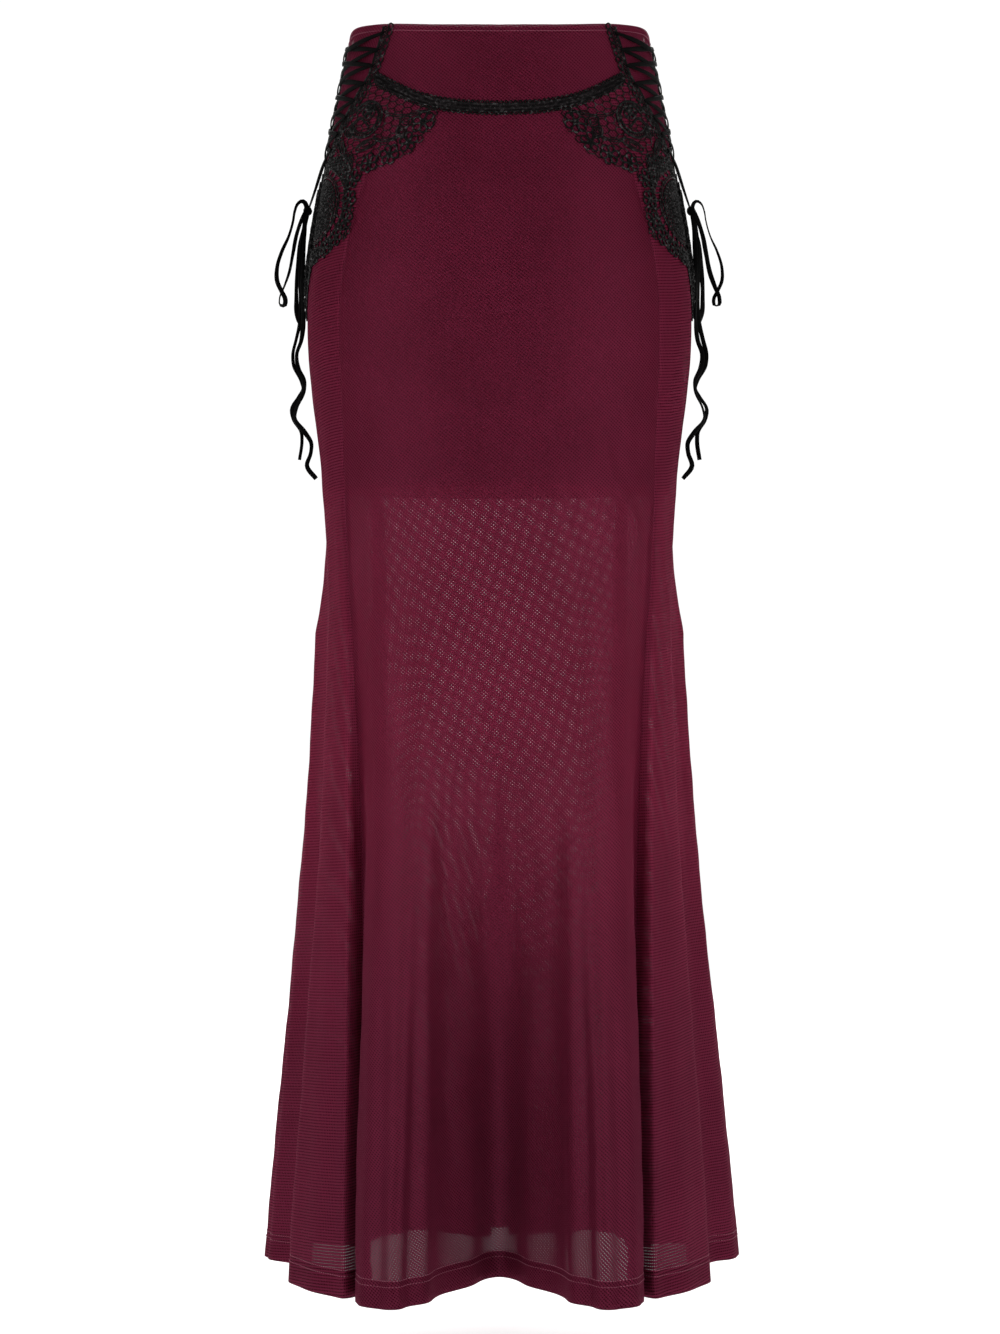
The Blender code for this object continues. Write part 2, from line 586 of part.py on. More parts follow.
def border_from_side(drop):
    """Where the front edge of the laced opening lies at a drop."""
    corner = YOKE_LINE[-1].drop
    share = np.interp(drop, (0.0, corner, LACING_END_DROP),
                      (WAIST_BORDER_SHARE, YOKE_END_SHARE, 1.0))
    return (1.0 - share) * quarter_length(drop)


def opening_edge(drops, offset):
    """The front edge of the laced opening, moved towards the front."""
    places = np.stack([border_from_side(drops), drops], axis=1)
    run = np.gradient(places, axis=0)
    run /= np.linalg.norm(run, axis=1)[:, None]
    return places + np.stack([run[:, 1], -run[:, 0]], axis=1) * offset


def front_lace_outline():
    """Outline of a front lace piece, border strip included, round once."""
    top = float(waist_drop(WAIST_BORDER_SHARE)) + LACE_TOP_BELOW_WAIST
    corner = YOKE_LINE[-1].drop
    inner = opening_edge(np.linspace(top, LACING_END_DROP, OPENING_EDGE_POINTS),
                         -BORDER_WIDTH / 2)
    inner = [tuple(point) for point in inner if point[0] > LACE_PARTING]
    parting = [(LACE_PARTING, drop)
               for drop in np.linspace(inner[-1][1], LACE_TIP_DROP, PARTING_POINTS)[1:]]
    edge = arc_scallops([(row.from_side, row.drop) for row in FRONT_LACE_EDGE], True)
    under_braid = []
    for share in np.linspace(LACE_END_SHARE, LACE_CORNER_SHARE, UNDER_BRAID_POINTS):
        drop = float(panel_top(share)) + BRAID_WIDTH / 2 + SEAM_GAP
        under_braid.append(((1.0 - share) * float(quarter_length(drop)[0]), drop))
    beside = opening_edge(np.linspace(corner - BRAID_WIDTH / 2, top, BESIDE_YOKE_POINTS),
                          -BORDER_WIDTH / 2)
    outline = inner + parting + [tuple(point) for point in reversed(edge)]
    return outline + under_braid + [tuple(point) for point in beside]


def back_lace_outline():
    """Outline of the plain scalloped lace band behind the side line."""
    top = float(waist_drop(1.0)) + LACE_TOP_BELOW_WAIST
    edge = arc_scallops([(row.from_side, row.drop) for row in BACK_LACE_EDGE], False)
    inner = [(-LACE_PARTING, drop) for drop in np.linspace(LACE_TIP_DROP, top, BACK_PARTING_POINTS)]
    return [tuple(point) for point in edge] + inner


def inside_outline(point, outline):
    """True when a point lies inside an outline."""
    x, y = point
    inside = False
    for (ax, ay), (bx, by) in zip(outline, outline[1:] + outline[:1]):
        if (ay > y) != (by > y) and x < (bx - ax) * (y - ay) / (by - ay) + ax:
            inside = not inside
    return inside


def distance_to_path(point, path):
    """Shortest distance from a point to a path."""
    nearest = 1.0
    place = Vector(point)
    for start, end in zip(path, path[1:]):
        a, b = Vector(start), Vector(end)
        run = b - a
        t = 0.0
        if run.length_squared > 0.0:
            t = max(0.0, min(1.0, (place - a).dot(run) / run.length_squared))
        nearest = min(nearest, (place - a - run * t).length)
    return nearest


def in_motif(point, motif):
    """True when a cell would cut into a solid motif."""
    half_width = motif.half_width + MESH_CELL_HALF_WIDTH * MOTIF_MARGIN
    half_height = motif.half_height + MESH_CELL_HALF_HEIGHT * MOTIF_MARGIN
    across = (point[0] - motif.from_side) / half_width
    down = (point[1] - motif.drop) / half_height
    return across ** 2 + down ** 2 < 1.0


def mesh_cell(centre):
    """Corners of one six-sided cell of the lace ground."""
    w, h = MESH_CELL_HALF_WIDTH, MESH_CELL_HALF_HEIGHT
    corners = ((w, 0), (w / 2, h), (-w / 2, h), (-w, 0), (-w / 2, -h), (w / 2, -h))
    return [(centre[0] + x, centre[1] + y) for x, y in corners]


def lace_cells(outline, motifs, flower_path):
    """Cells of the lace ground that fit between motifs, flowers and borders."""
    pitch_across = 1.5 * MESH_CELL_HALF_WIDTH + MESH_BAR
    pitch_down = 2.0 * MESH_CELL_HALF_HEIGHT + MESH_BAR
    us, drops = [p[0] for p in outline], [p[1] for p in outline]
    closed = list(outline) + [outline[0]]
    cells = []
    for i in range(int((max(us) - min(us)) / pitch_across) + 1):
        for j in range(int((max(drops) - min(drops)) / pitch_down) + 1):
            centre = (min(us) + i * pitch_across,
                      min(drops) + (j + 0.5 * (i % 2)) * pitch_down)
            if not inside_outline(centre, outline):
                continue
            if any(in_motif(centre, motif) for motif in motifs):
                continue
            if distance_to_path(centre, flower_path) < FLOWER_EDGE:
                continue
            if distance_to_path(centre, closed) > MESH_CELL_HALF_WIDTH + MESH_EDGE_MARGIN:
                cells.append(mesh_cell(centre))
    return cells


def solid_ground_points(outline, cells):
    """Extra points in the uncut parts, so that the lace follows the hip."""
    pitch = GROUND_POINT_PITCH
    closed = list(outline) + [outline[0]]
    us, drops = [p[0] for p in outline], [p[1] for p in outline]
    centres = [Vector(np.mean(cell, axis=0)) for cell in cells]
    points = []
    for i in range(int((max(us) - min(us)) / pitch) + 1):
        for j in range(int((max(drops) - min(drops)) / pitch) + 1):
            point = (min(us) + (i + 0.5 * (j % 2)) * pitch, min(drops) + j * pitch)
            if not inside_outline(point, outline):
                continue
            if distance_to_path(point, closed) < GROUND_POINT_MARGIN:
                continue
            if all((Vector(point) - centre).length > GROUND_POINT_CLEAR for centre in centres):
                points.append(point)
    return points


def add_lace(name, outline, cells, side, material):
    """A lace piece: flat outline with cut cells, laid on the hip."""
    points = [Vector(point) for point in outline]
    edges = [(i, (i + 1) % len(outline)) for i in range(len(outline))]
    for cell in cells:
        first = len(points)
        points += [Vector(corner) for corner in cell]
        edges += [(first + i, first + (i + 1) % 6) for i in range(6)]
    points += [Vector(point) for point in solid_ground_points(outline, cells)]
    inside_with_holes = 4
    flat, _, triangles, _, _, _ = delaunay_2d_cdt(points, edges, [], inside_with_holes, 1e-7)
    across = np.array([point[0] for point in flat])
    drop = np.array([point[1] for point in flat])
    lower = lifted(hip_place, across, drop, TRIM_LIFT, -1.0)
    upper = lifted(hip_place, across, drop, TRIM_LIFT + LACE_WALL, -1.0)
    if side < 0:
        lower, upper = lower * (-1, 1, 1), upper * (-1, 1, 1)
    shift = len(flat)
    turned = side < 0
    faces, counted = [], {}
    for a, b, c in triangles:
        a, b, c = (a, c, b) if turned else (a, b, c)
        faces += [(a, b, c), (c + shift, b + shift, a + shift)]
        for start, end in ((a, b), (b, c), (c, a)):
            counted[(start, end)] = True
    for start, end in counted:
        if (end, start) not in counted:
            faces += [(end, start, start + shift), (end, start + shift, end + shift)]
    return add_object(name, list(upper) + list(lower), faces, material)


def add_braid(material):
    """The flat braid along the yoke seam, between the two lace borders."""
    half = BRAID_WIDTH / 2
    shares = np.linspace(-BRAID_END_SHARE, BRAID_END_SHARE, BRAID_COLUMNS)
    centre = panel_top(shares)
    offsets = (-half, half)
    across = np.repeat(shares, len(offsets))
    drops = (centre[:, None] + np.array(offsets)[None, :]).ravel()
    outer = lifted(column_place, across, drops, TRIM_LIFT + BRAID_WALL)
    inner = lifted(column_place, across, drops, TRIM_LIFT)
    add_wall("braid", outer, inner, len(shares), len(offsets), material)


# ================================================================ cords
def resample(points, step):
    """A soft curve through route points, read at an even spacing."""
    path = np.array(points, float)
    chords = np.linalg.norm(np.diff(path, axis=0), axis=1)
    at = np.concatenate([[0.0], np.cumsum(chords)])
    fine = np.linspace(0.0, at[-1], ROUTE_SAMPLES)
    curve = np.stack([smooth(at, path[:, k], fine) for k in range(3)], axis=1)
    run = np.concatenate([[0.0], np.cumsum(np.linalg.norm(np.diff(curve, axis=0), axis=1))])
    count = max(3, round(run[-1] / step) + 1)
    stops = np.linspace(0.0, run[-1], count)
    return np.stack([np.interp(stops, run, curve[:, k]) for k in range(3)], axis=1)


def add_cord(name, points, material):
    """A round cord along points."""
    curve = bpy.data.curves.new(name, "CURVE")
    curve.dimensions = "3D"
    curve.bevel_depth = CORD / 2
    curve.bevel_resolution = 2
    curve.use_fill_caps = True
    curve.twist_mode = "MINIMUM"
    spline = curve.splines.new("POLY")
    spline.points.add(len(points) - 1)
    for spot, point in zip(spline.points, points):
        spot.co = (*point, 1.0)
    curve.materials.append(material)
    thing = bpy.data.objects.new(name, curve)
    bpy.context.collection.objects.link(thing)
    return thing


def lacing_loop(front, row):
    """Place of a lacing loop: arc length from the side line, and drop."""
    if not front:
        return LACING_BACK_FROM_SIDE, LACING_ROWS[row].back_drop
    drop = LACING_ROWS[row].front_drop
    return float(border_from_side(drop)[0]), drop


def add_lacing(name, starts_in_front, side, material):
    """One strand of the criss-cross lacing, from the waist to the bow."""
    stops = []
    for row in range(len(LACING_ROWS)):
        stops.append(lacing_loop((row % 2 == 0) == starts_in_front, row))
    middle = LACING_OVER if starts_in_front else LACING_UNDER
    across, drops, lifts = [], [], []
    for (u0, d0), (u1, d1) in zip(stops, stops[1:]):
        steps = 2 * math.ceil(math.hypot(u1 - u0, d1 - d0) / (2 * LACING_STEP))
        for k in range(steps):
            t = k / steps
            across.append(u0 + (u1 - u0) * t)
            drops.append(d0 + (d1 - d0) * t)
            lifts.append(LACING_AT_LOOP + (middle - LACING_AT_LOOP) * math.sin(math.pi * t) ** 2)
    across.append(stops[-1][0])
    drops.append(stops[-1][1])
    lifts.append(LACING_AT_LOOP)
    ends_in_front = starts_in_front == (len(LACING_ROWS) % 2 == 1)
    for foot in LACING_FROM_FRONT if ends_in_front else LACING_FROM_BACK:
        across.append(foot.from_side)
        drops.append(foot.drop)
        lifts.append(foot.lift)
    points = lifted(hip_place, across, drops, np.array(lifts)[:, None], -1.0)
    return add_cord(name, points * (side, 1, 1), material)


def add_knot(name, side, material):
    """The bow's knot: a short barrel of wound cord, lying front to back."""
    x, y, drop = KNOT_CENTRE_MM
    centre = np.array((x, y, -drop)) * MM
    points, faces = [], []
    for ring in KNOT_PROFILE:
        for k in range(KNOT_SIDES):
            turn = 2 * math.pi * k / KNOT_SIDES
            radius = KNOT_RADIUS * ring.width
            spot = (math.cos(turn) * radius, ring.along * KNOT_LENGTH / 2, math.sin(turn) * radius)
            points.append((centre + spot) * (side, 1, 1))
    last = (len(KNOT_PROFILE) - 1) * KNOT_SIDES
    for start in range(0, last, KNOT_SIDES):
        for k in range(KNOT_SIDES):
            a, b = start + k, start + (k + 1) % KNOT_SIDES
            faces.append((a, a + KNOT_SIDES, b + KNOT_SIDES, b))
    faces += [tuple(range(KNOT_SIDES)), tuple(reversed(range(last, last + KNOT_SIDES)))]
    if side < 0:
        faces = [tuple(reversed(face)) for face in faces]
    return add_object(name, points, faces, material)


# ================================================================ the skirt
def make_material(name, finish):
    """A plain shader with a piece's colour."""
    material = bpy.data.materials.new(name)
    material.use_nodes = True
    shader = material.node_tree.nodes["Principled BSDF"]
    shader.inputs["Base Color"].default_value = (*finish.colour, 1.0)
    shader.inputs["Roughness"].default_value = finish.roughness
    shader.inputs["Metallic"].default_value = 0.0
    return material


def seam_allowance(shares, drops):
    """Half a seam gap, as the drop that gives it square to a sloping seam."""
    arcs = (1.0 - np.abs(shares)) * quarter_length(drops)
    slopes = np.gradient(drops) / np.gradient(arcs)
    return SEAM_GAP / 2 * np.sqrt(1.0 + slopes ** 2)


def in_order(values, sign):
    """Values from -X to +X, given those of the +X side from front to back."""
    return np.array(values)[::sign]


def build_panels(cloth):
    """Front, side-front, side-back and back panels, yoke and lacing inserts."""
    front = hem_shares(0.0, KNEE_SEAM_SHARE, FOLD_STEPS)
    front = [-share for share in reversed(front[1:])] + front
    corner = float(share_at_hem(YOKE_END_SHARE, YOKE_LINE[-1].drop))
    beside_yoke = list(np.linspace(KNEE_SEAM_SHARE, corner, YOKE_SIDE_STEPS + 1))
    beside_lacing = list(np.linspace(corner, 1.0, LACING_STEPS + 1))
    side_front = beside_yoke[:-1] + beside_lacing
    side_back = hem_shares(1.0, BACK_SEAM_SHARE, FOLD_STEPS)
    back = hem_shares(BACK_SEAM_SHARE, 4.0 - BACK_SEAM_SHARE, BACK_FOLD_STEPS)

    front_top_share, front_top = top_of_column(front)
    side_top_share, side_top = top_of_column(side_front)
    front_gap = seam_allowance(front_top_share, front_top)
    side_gap = seam_allowance(side_top_share, side_top)
    beyond = side_front[1]
    add_panel("front_panel", front, (-beyond, beyond), front_top + front_gap, cloth)
    beyond = side_back[-2]
    add_panel("back_panel", back, (beyond, 4.0 - beyond),
              waist_drop(folded_side(np.array(back))[0]), cloth)

    lacing = slice(YOKE_SIDE_STEPS, None)
    for word, sign in (("left", 1), ("right", -1)):
        add_panel(f"side_front_{word}", in_order(side_front, sign) * sign,
                  in_order([front[-2], side_back[1]], sign) * sign,
                  in_order(side_top + side_gap, sign), cloth)
        add_panel(f"side_back_{word}", in_order(side_back, sign) * sign,
                  in_order([side_front[-2], back[1]], sign) * sign,
                  in_order(waist_drop(side_back), sign), cloth)
        add_upper_piece(f"lacing_insert_{word}", in_order(side_top_share[lacing], sign) * sign,
                        in_order((side_top - side_gap)[lacing], sign), cloth)

    beside = slice(1, YOKE_SIDE_STEPS + 1)
    end_shares, end_drops = side_top_share[beside], (side_top - side_gap)[beside]
    add_upper_piece("front_yoke",
                    np.concatenate([-end_shares[::-1], front_top_share, end_shares]),
                    np.concatenate([end_drops[::-1], front_top - front_gap, end_drops]), cloth)


def share_at_hem(share, drop):
    """The hem share of the column that passes through a place higher up."""
    low, high = 0.0, 1.0
    for _ in range(HALVINGS):
        middle = (low + high) / 2
        if share_above_knee(np.array([middle]), np.array([drop]))[0] < share:
            low = middle
        else:
            high = middle
    return middle


def build_trim(lace, braid, cord):
    """Lace, braid, lacing and bows."""
    add_braid(braid)
    front_outline, back_outline = front_lace_outline(), back_lace_outline()
    flower_path = [(row.from_side, row.drop) for row in FRONT_LACE_EDGE]
    front_cells = lace_cells(front_outline, FRONT_MOTIFS, flower_path)
    for word, side in (("left", 1.0), ("right", -1.0)):
        add_lace(f"front_lace_{word}", front_outline, front_cells, side, lace)
        add_lace(f"back_lace_{word}", back_outline, [], side, lace)
        add_lacing(f"lacing_over_{word}", True, side, cord)
        add_lacing(f"lacing_under_{word}", False, side, cord)
        add_knot(f"bow_knot_{word}", side, cord)
        for part, route in (("long_loop", LONG_LOOP_MM), ("short_loop", SHORT_LOOP_MM),
                            ("tail_a", TAIL_A_MM), ("tail_b", TAIL_B_MM)):
            points = resample([(row.x * side, row.y, -row.drop) for row in route], CORD_STEP / MM)
            add_cord(f"bow_{part}_{word}", points * MM, cord)


def build_skirt():
    """Every piece of the skirt."""
    for thing in list(bpy.data.objects):
        bpy.data.objects.remove(thing, do_unlink=True)
    cloth = make_material("mesh_cloth", MESH_CLOTH)
    build_panels(cloth)
    add_lining(make_material("lining_cloth", LINING_CLOTH))
    build_trim(make_material("black_lace", BLACK_LACE), make_material("black_braid", BLACK_BRAID),
               make_material("black_cord", BLACK_CORD))


build_skirt()
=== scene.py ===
# %% [markdown]
# # A mermaid fishtail skirt with laced hips
# The solids of every piece are already made.  This lesson dresses them:
# sheer stretch mesh, guipure lace, a gimp braid, and flat lacing that ends in bows.
# Each piece is built on the same tables as its solid, so nothing has to be fitted by eye.

# %% Load the frame
import json
import math
from collections import namedtuple

import bpy
import numpy as np
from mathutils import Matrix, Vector

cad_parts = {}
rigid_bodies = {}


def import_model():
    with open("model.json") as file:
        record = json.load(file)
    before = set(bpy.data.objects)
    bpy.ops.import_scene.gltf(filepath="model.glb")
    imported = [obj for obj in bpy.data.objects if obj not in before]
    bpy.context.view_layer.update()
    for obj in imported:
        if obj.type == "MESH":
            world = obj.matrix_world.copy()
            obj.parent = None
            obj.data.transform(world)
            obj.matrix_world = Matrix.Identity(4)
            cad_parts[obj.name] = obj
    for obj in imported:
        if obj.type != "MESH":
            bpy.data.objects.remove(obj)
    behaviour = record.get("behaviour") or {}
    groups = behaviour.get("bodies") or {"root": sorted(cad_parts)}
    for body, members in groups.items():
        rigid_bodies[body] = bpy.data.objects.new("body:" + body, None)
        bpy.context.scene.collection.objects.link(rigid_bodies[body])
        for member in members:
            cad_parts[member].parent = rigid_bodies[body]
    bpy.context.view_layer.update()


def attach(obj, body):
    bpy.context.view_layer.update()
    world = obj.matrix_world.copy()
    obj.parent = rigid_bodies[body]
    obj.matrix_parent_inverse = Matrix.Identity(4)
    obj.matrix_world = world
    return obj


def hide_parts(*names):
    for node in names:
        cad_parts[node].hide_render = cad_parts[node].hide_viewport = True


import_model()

# %% [markdown]
# ## Camera
# A garment of this length is looked at from far off through a long lens, level with its
# middle, so that its waist and its hem are both seen nearly straight on.

# %% Camera
CAMERA_DISTANCE = 3.0
CAMERA_HEIGHT = -0.499
CAMERA_ACROSS = 0.0004
PIXEL = 0.0008            # metres that one pixel covers at the skirt's middle
PICTURE_HEIGHT = 1334
SENSOR = 36.0
FAR_CLIP = 50.0

lens = bpy.data.cameras.new("camera")
lens.sensor_width = SENSOR
lens.lens = SENSOR * CAMERA_DISTANCE / (PICTURE_HEIGHT * PIXEL)
lens.clip_end = FAR_CLIP
camera = bpy.data.objects.new("camera", lens)
camera.location = (CAMERA_ACROSS, -CAMERA_DISTANCE, CAMERA_HEIGHT)
camera.rotation_euler = (math.pi / 2, 0.0, 0.0)
bpy.context.collection.objects.link(camera)
bpy.context.scene.camera = camera
print("lens", round(lens.lens, 1), "mm")

# %% [markdown]
# ## Small helpers
# Two things come back all through: small graphs of nodes, for the room, the finishes and
# the Geometry Nodes trees, and tables of numbers whose columns have names.

# %% Small helpers
def set_inputs(node, inputs):
    """Give a node's sockets their values."""
    for key, value in inputs.items():
        node.inputs[key].default_value = value


def add_node(tree, kind, inputs=None, **settings):
    """A node with its settings and the values of its sockets."""
    node = tree.nodes.new(kind)
    for key, value in settings.items():
        setattr(node, key, value)
    set_inputs(node, inputs or {})
    return node


def link_nodes(tree, *pairs):
    """Join sockets in pairs, from output to input."""
    for start, end in pairs:
        tree.links.new(start, end)


def table(columns, *rows):
    """Rows with named columns."""
    kind = namedtuple("Row", columns)
    return [kind(*row) for row in rows]


# %% [markdown]
# ## Studio
# Sheer dark cloth needs light from every side: a white room gives it its see-through look,
# and three large soft boxes draw the folds.  The floor is pale and lies under the hem.

# %% Studio
WHITE = (1.0, 1.0, 1.0, 1.0)
ROOM_SEEN = 1.05            # the room's brightness to the camera
ROOM_LIGHT = 0.44           # and to the cloth
ROOM_LIGHT_COLOUR = (1.0, 0.99, 0.985, 1.0)
LIT_POINT = (0, 0, -0.5)
SOFT_BOXES = table(
    "name place size power",
    ("side_left", (-2.35, -2.05, 0.1), 1.6, 20),
    ("side_right", (2.35, -2.05, 0.1), 1.6, 20),
    ("back", (0.0, 3.0, 0.6), 2.0, 45),
)
for box in SOFT_BOXES:
    data = bpy.data.lights.new(box.name, "AREA")
    data.shape = "SQUARE"
    data.size = box.size
    data.energy = box.power
    light = bpy.data.objects.new(box.name, data)
    light.location = box.place
    towards = Vector(LIT_POINT) - Vector(box.place)
    light.rotation_euler = towards.to_track_quat("-Z", "Y").to_euler()
    bpy.context.collection.objects.link(light)

world = bpy.data.worlds.new("white_room")
world.use_nodes = True
bpy.context.scene.world = world
tree = world.node_tree
seen = tree.nodes["Background"]
set_inputs(seen, {"Color": WHITE, "Strength": ROOM_SEEN})
lighting = add_node(tree, "ShaderNodeBackground",
                    {"Color": ROOM_LIGHT_COLOUR, "Strength": ROOM_LIGHT})
ray = add_node(tree, "ShaderNodeLightPath")
choice = add_node(tree, "ShaderNodeMixShader")
link_nodes(tree, (ray.outputs["Is Camera Ray"], choice.inputs[0]),
           (lighting.outputs[0], choice.inputs[1]), (seen.outputs[0], choice.inputs[2]),
           (choice.outputs[0], tree.nodes["World Output"].inputs["Surface"]))
view_settings = bpy.context.scene.view_settings
view_settings.view_transform = "Standard"
view_settings.look = "None"
print("soft boxes", [box.name for box in SOFT_BOXES])

# %% Floor
FLOOR_HEIGHT = -1.055
FLOOR_RADIUS = 12.0
FLOOR_SIDES = 96
floor_paint = bpy.data.materials.new("pale_floor")
floor_paint.use_nodes = True
tree = floor_paint.node_tree
shader = tree.nodes["Principled BSDF"]
set_inputs(shader, {"Base Color": (0.86, 0.86, 0.86, 1.0), "Roughness": 0.9,
                    "Emission Color": WHITE, "Emission Strength": 0.66})
grain = add_node(tree, "ShaderNodeTexNoise", {"Scale": 40.0})
bump = add_node(tree, "ShaderNodeBump", {"Strength": 0.02})
link_nodes(tree, (grain.outputs["Fac"], bump.inputs["Height"]),
           (bump.outputs["Normal"], shader.inputs["Normal"]))
turns = np.linspace(0.0, 2.0 * math.pi, FLOOR_SIDES + 1)[:-1]
rim = [(FLOOR_RADIUS * math.cos(t), FLOOR_RADIUS * math.sin(t), FLOOR_HEIGHT) for t in turns]
floor_mesh = bpy.data.meshes.new("floor")
floor_mesh.from_pydata(rim, [], [tuple(range(len(rim)))])
floor_mesh.materials.append(floor_paint)
floor = bpy.data.objects.new("floor", floor_mesh)
bpy.context.collection.objects.link(floor)
print("floor", FLOOR_HEIGHT, "m")

# %% [markdown]
# ## A mesh from a grid of points
# Cloth, ribbons and braid are all swept grids.  One helper turns rows of points into a
# closed shell, and stores the cloth's own grain in metres as a UV map, so that a weave
# can follow the piece wherever it goes.

# %% Grid helpers
def unit(vectors):
    """Vectors brought to length 1."""
    return vectors / np.maximum(np.linalg.norm(vectors, axis=-1, keepdims=True), 1e-12)


def run_along(points):
    """Arc length along a path, or along each row of a grid from its first column."""
    steps = np.linalg.norm(np.diff(points, axis=0), axis=-1)
    return np.concatenate([np.zeros_like(steps[:1]), np.cumsum(steps, axis=0)])


def make_piece(name, points, faces, material, grain=None):
    """A mesh object at the origin, smooth, with one material and a grain map."""
    mesh = bpy.data.meshes.new(name)
    mesh.from_pydata([tuple(p) for p in np.asarray(points).reshape(-1, 3)], [], faces)
    mesh.materials.append(material)
    mesh.shade_smooth()
    if grain is not None:
        layer = mesh.uv_layers.new(name="grain")
        corners = np.empty(len(mesh.loops), dtype=np.int32)
        mesh.loops.foreach_get("vertex_index", corners)
        layer.data.foreach_set("uv", np.asarray(grain, dtype=np.float32)[corners].ravel())
    piece = bpy.data.objects.new(name, mesh)
    bpy.context.collection.objects.link(piece)
    return piece


def grid_normals(points):
    """Outward normals of a grid of columns and rows that runs round the skirt."""
    down = np.gradient(points, axis=1)
    across = np.gradient(points, axis=0)
    return unit(np.cross(down, across))


def shell_faces(columns, rows, closed=False):
    """Quads of a thin shell: its outer grid, its inner grid and its rim."""
    faces = []
    shift = columns * rows
    last = columns if closed else columns - 1
    for c in range(last):
        a, b = c * rows, (c + 1) % columns * rows
        for r in range(rows - 1):
            faces.append((a + r, a + r + 1, b + r + 1, b + r))
            faces.append((shift + b + r, shift + b + r + 1, shift + a + r + 1, shift + a + r))
        faces.append((a, b, b + shift, a + shift))
        faces.append((b + rows - 1, a + rows - 1, a + rows - 1 + shift, b + rows - 1 + shift))
    if not closed:
        for r in range(rows - 1):
            a, b = r, (columns - 1) * rows + r
            faces.append((a + 1, a, a + shift, a + 1 + shift))
            faces.append((b, b + 1, b + 1 + shift, b + shift))
    return faces


# %% [markdown]
# ## Flat lacing ribbon
# The lacing is a soft flat tape 4 mm wide.  It is swept here from points and the
# direction that its flat side faces; a free end turns about its own line as it hangs.

# %% Curves through points
CURVE_SAMPLES = 600


def smooth(places, values, at):
    """A soft curve through a table's points, read at one or many places."""
    places, values = np.asarray(places, float), np.asarray(values, float)
    slopes = np.gradient(values, places)
    at = np.clip(at, places[0], places[-1])
    low = np.clip(np.searchsorted(places, at) - 1, 0, len(places) - 2)
    width = places[low + 1] - places[low]
    t = (at - places[low]) / width
    return ((1 + 2 * t) * (1 - t) ** 2 * values[low]
            + t * (1 - t) ** 2 * width * slopes[low]
            + t * t * (3 - 2 * t) * values[low + 1]
            + t * t * (t - 1) * width * slopes[low + 1])


def spaced(points, step):
    """A soft curve through route points, read at an even spacing, and its length."""
    path = np.array(points, float)
    at = run_along(path)
    fine = np.linspace(0.0, at[-1], CURVE_SAMPLES)
    curve = np.stack([smooth(at, path[:, k], fine) for k in range(3)], axis=1)
    run = run_along(curve)
    stops = np.linspace(0.0, run[-1], max(3, round(run[-1] / step) + 1))
    return np.stack([np.interp(stops, run, curve[:, k]) for k in range(3)], axis=1), run[-1]


def carried_frames(points, first):
    """Normals carried along a path without turning about it."""
    along = unit(np.gradient(points, axis=0))
    normals = [unit(first - along[0] * np.dot(first, along[0]))]
    for here in along[1:]:
        normals.append(unit(normals[-1] - here * np.dot(normals[-1], here)))
    return along, np.array(normals)


def square_to(points, normals):
    """The direction of a path, and normals made square to it."""
    along = unit(np.gradient(points, axis=0))
    return along, unit(normals - along * (normals * along).sum(axis=1)[:, None])


# %% Ribbon
RIBBON_WIDTH = 0.0040
RIBBON_THICKNESS = 0.0012
RIBBON_SIDES = 10
RIBBON_FULLNESS = 0.7       # 1 would make its section an oval


def sweep_ribbon(name, points, along, normals, width, thickness, material):
    """A flat ribbon with rounded edges, closed at both ends."""
    count = len(points)
    across = np.cross(along, normals)
    width = np.broadcast_to(width, count)[:, None, None]
    thickness = np.broadcast_to(thickness, count)[:, None, None]
    turn = np.linspace(0.0, 2.0 * math.pi, RIBBON_SIDES, endpoint=False)[None, :, None]
    ring = (points[:, None, :] + across[:, None, :] * np.cos(turn) * width / 2
            + normals[:, None, :] * np.sign(np.sin(turn))
            * np.abs(np.sin(turn)) ** RIBBON_FULLNESS * thickness / 2)
    faces = []
    for k in range(count - 1):
        for s in range(RIBBON_SIDES):
            a, b = k * RIBBON_SIDES + s, k * RIBBON_SIDES + (s + 1) % RIBBON_SIDES
            faces.append((a, a + RIBBON_SIDES, b + RIBBON_SIDES, b))
    faces.append(tuple(range(RIBBON_SIDES)))
    faces.append(tuple(reversed(range((count - 1) * RIBBON_SIDES, count * RIBBON_SIDES))))
    lengths = np.repeat(run_along(points), RIBBON_SIDES)
    sides = np.tile(np.cos(turn).ravel() * RIBBON_WIDTH / 2, count)
    return make_piece(name, ring.reshape(-1, 3), faces, material, np.stack([sides, lengths], 1))


# %% [markdown]
# ## Node helpers for finishes
# Every finish below is a short graph of Blender's own textures, made of the same few
# sums, soft steps, waves and speckles.

# %% Finish helpers
def sum_of(tree, operation, first, second):
    """A Math node between two sockets or numbers."""
    node = add_node(tree, "ShaderNodeMath", operation=operation)
    for slot, value in enumerate((first, second)):
        if isinstance(value, (int, float)):
            node.inputs[slot].default_value = value
        else:
            tree.links.new(value, node.inputs[slot])
    return node.outputs[0]


def stepped(tree, value, low, high, to_low=0.0, to_high=1.0):
    """A soft step of a value between two edges."""
    node = add_node(tree, "ShaderNodeMapRange", {"From Min": low, "From Max": high,
                                                 "To Min": to_low, "To Max": to_high},
                    interpolation_type="SMOOTHSTEP")
    tree.links.new(value, node.inputs["Value"])
    return node.outputs["Result"]


def mixed_colours(tree, factor, dark, light):
    """A colour between two, by a factor."""
    node = add_node(tree, "ShaderNodeMix", {"A": (*dark, 1.0), "B": (*light, 1.0)},
                    data_type="RGBA")
    tree.links.new(factor, node.inputs["Factor"])
    return next(out for out in node.outputs if out.type == "RGBA")


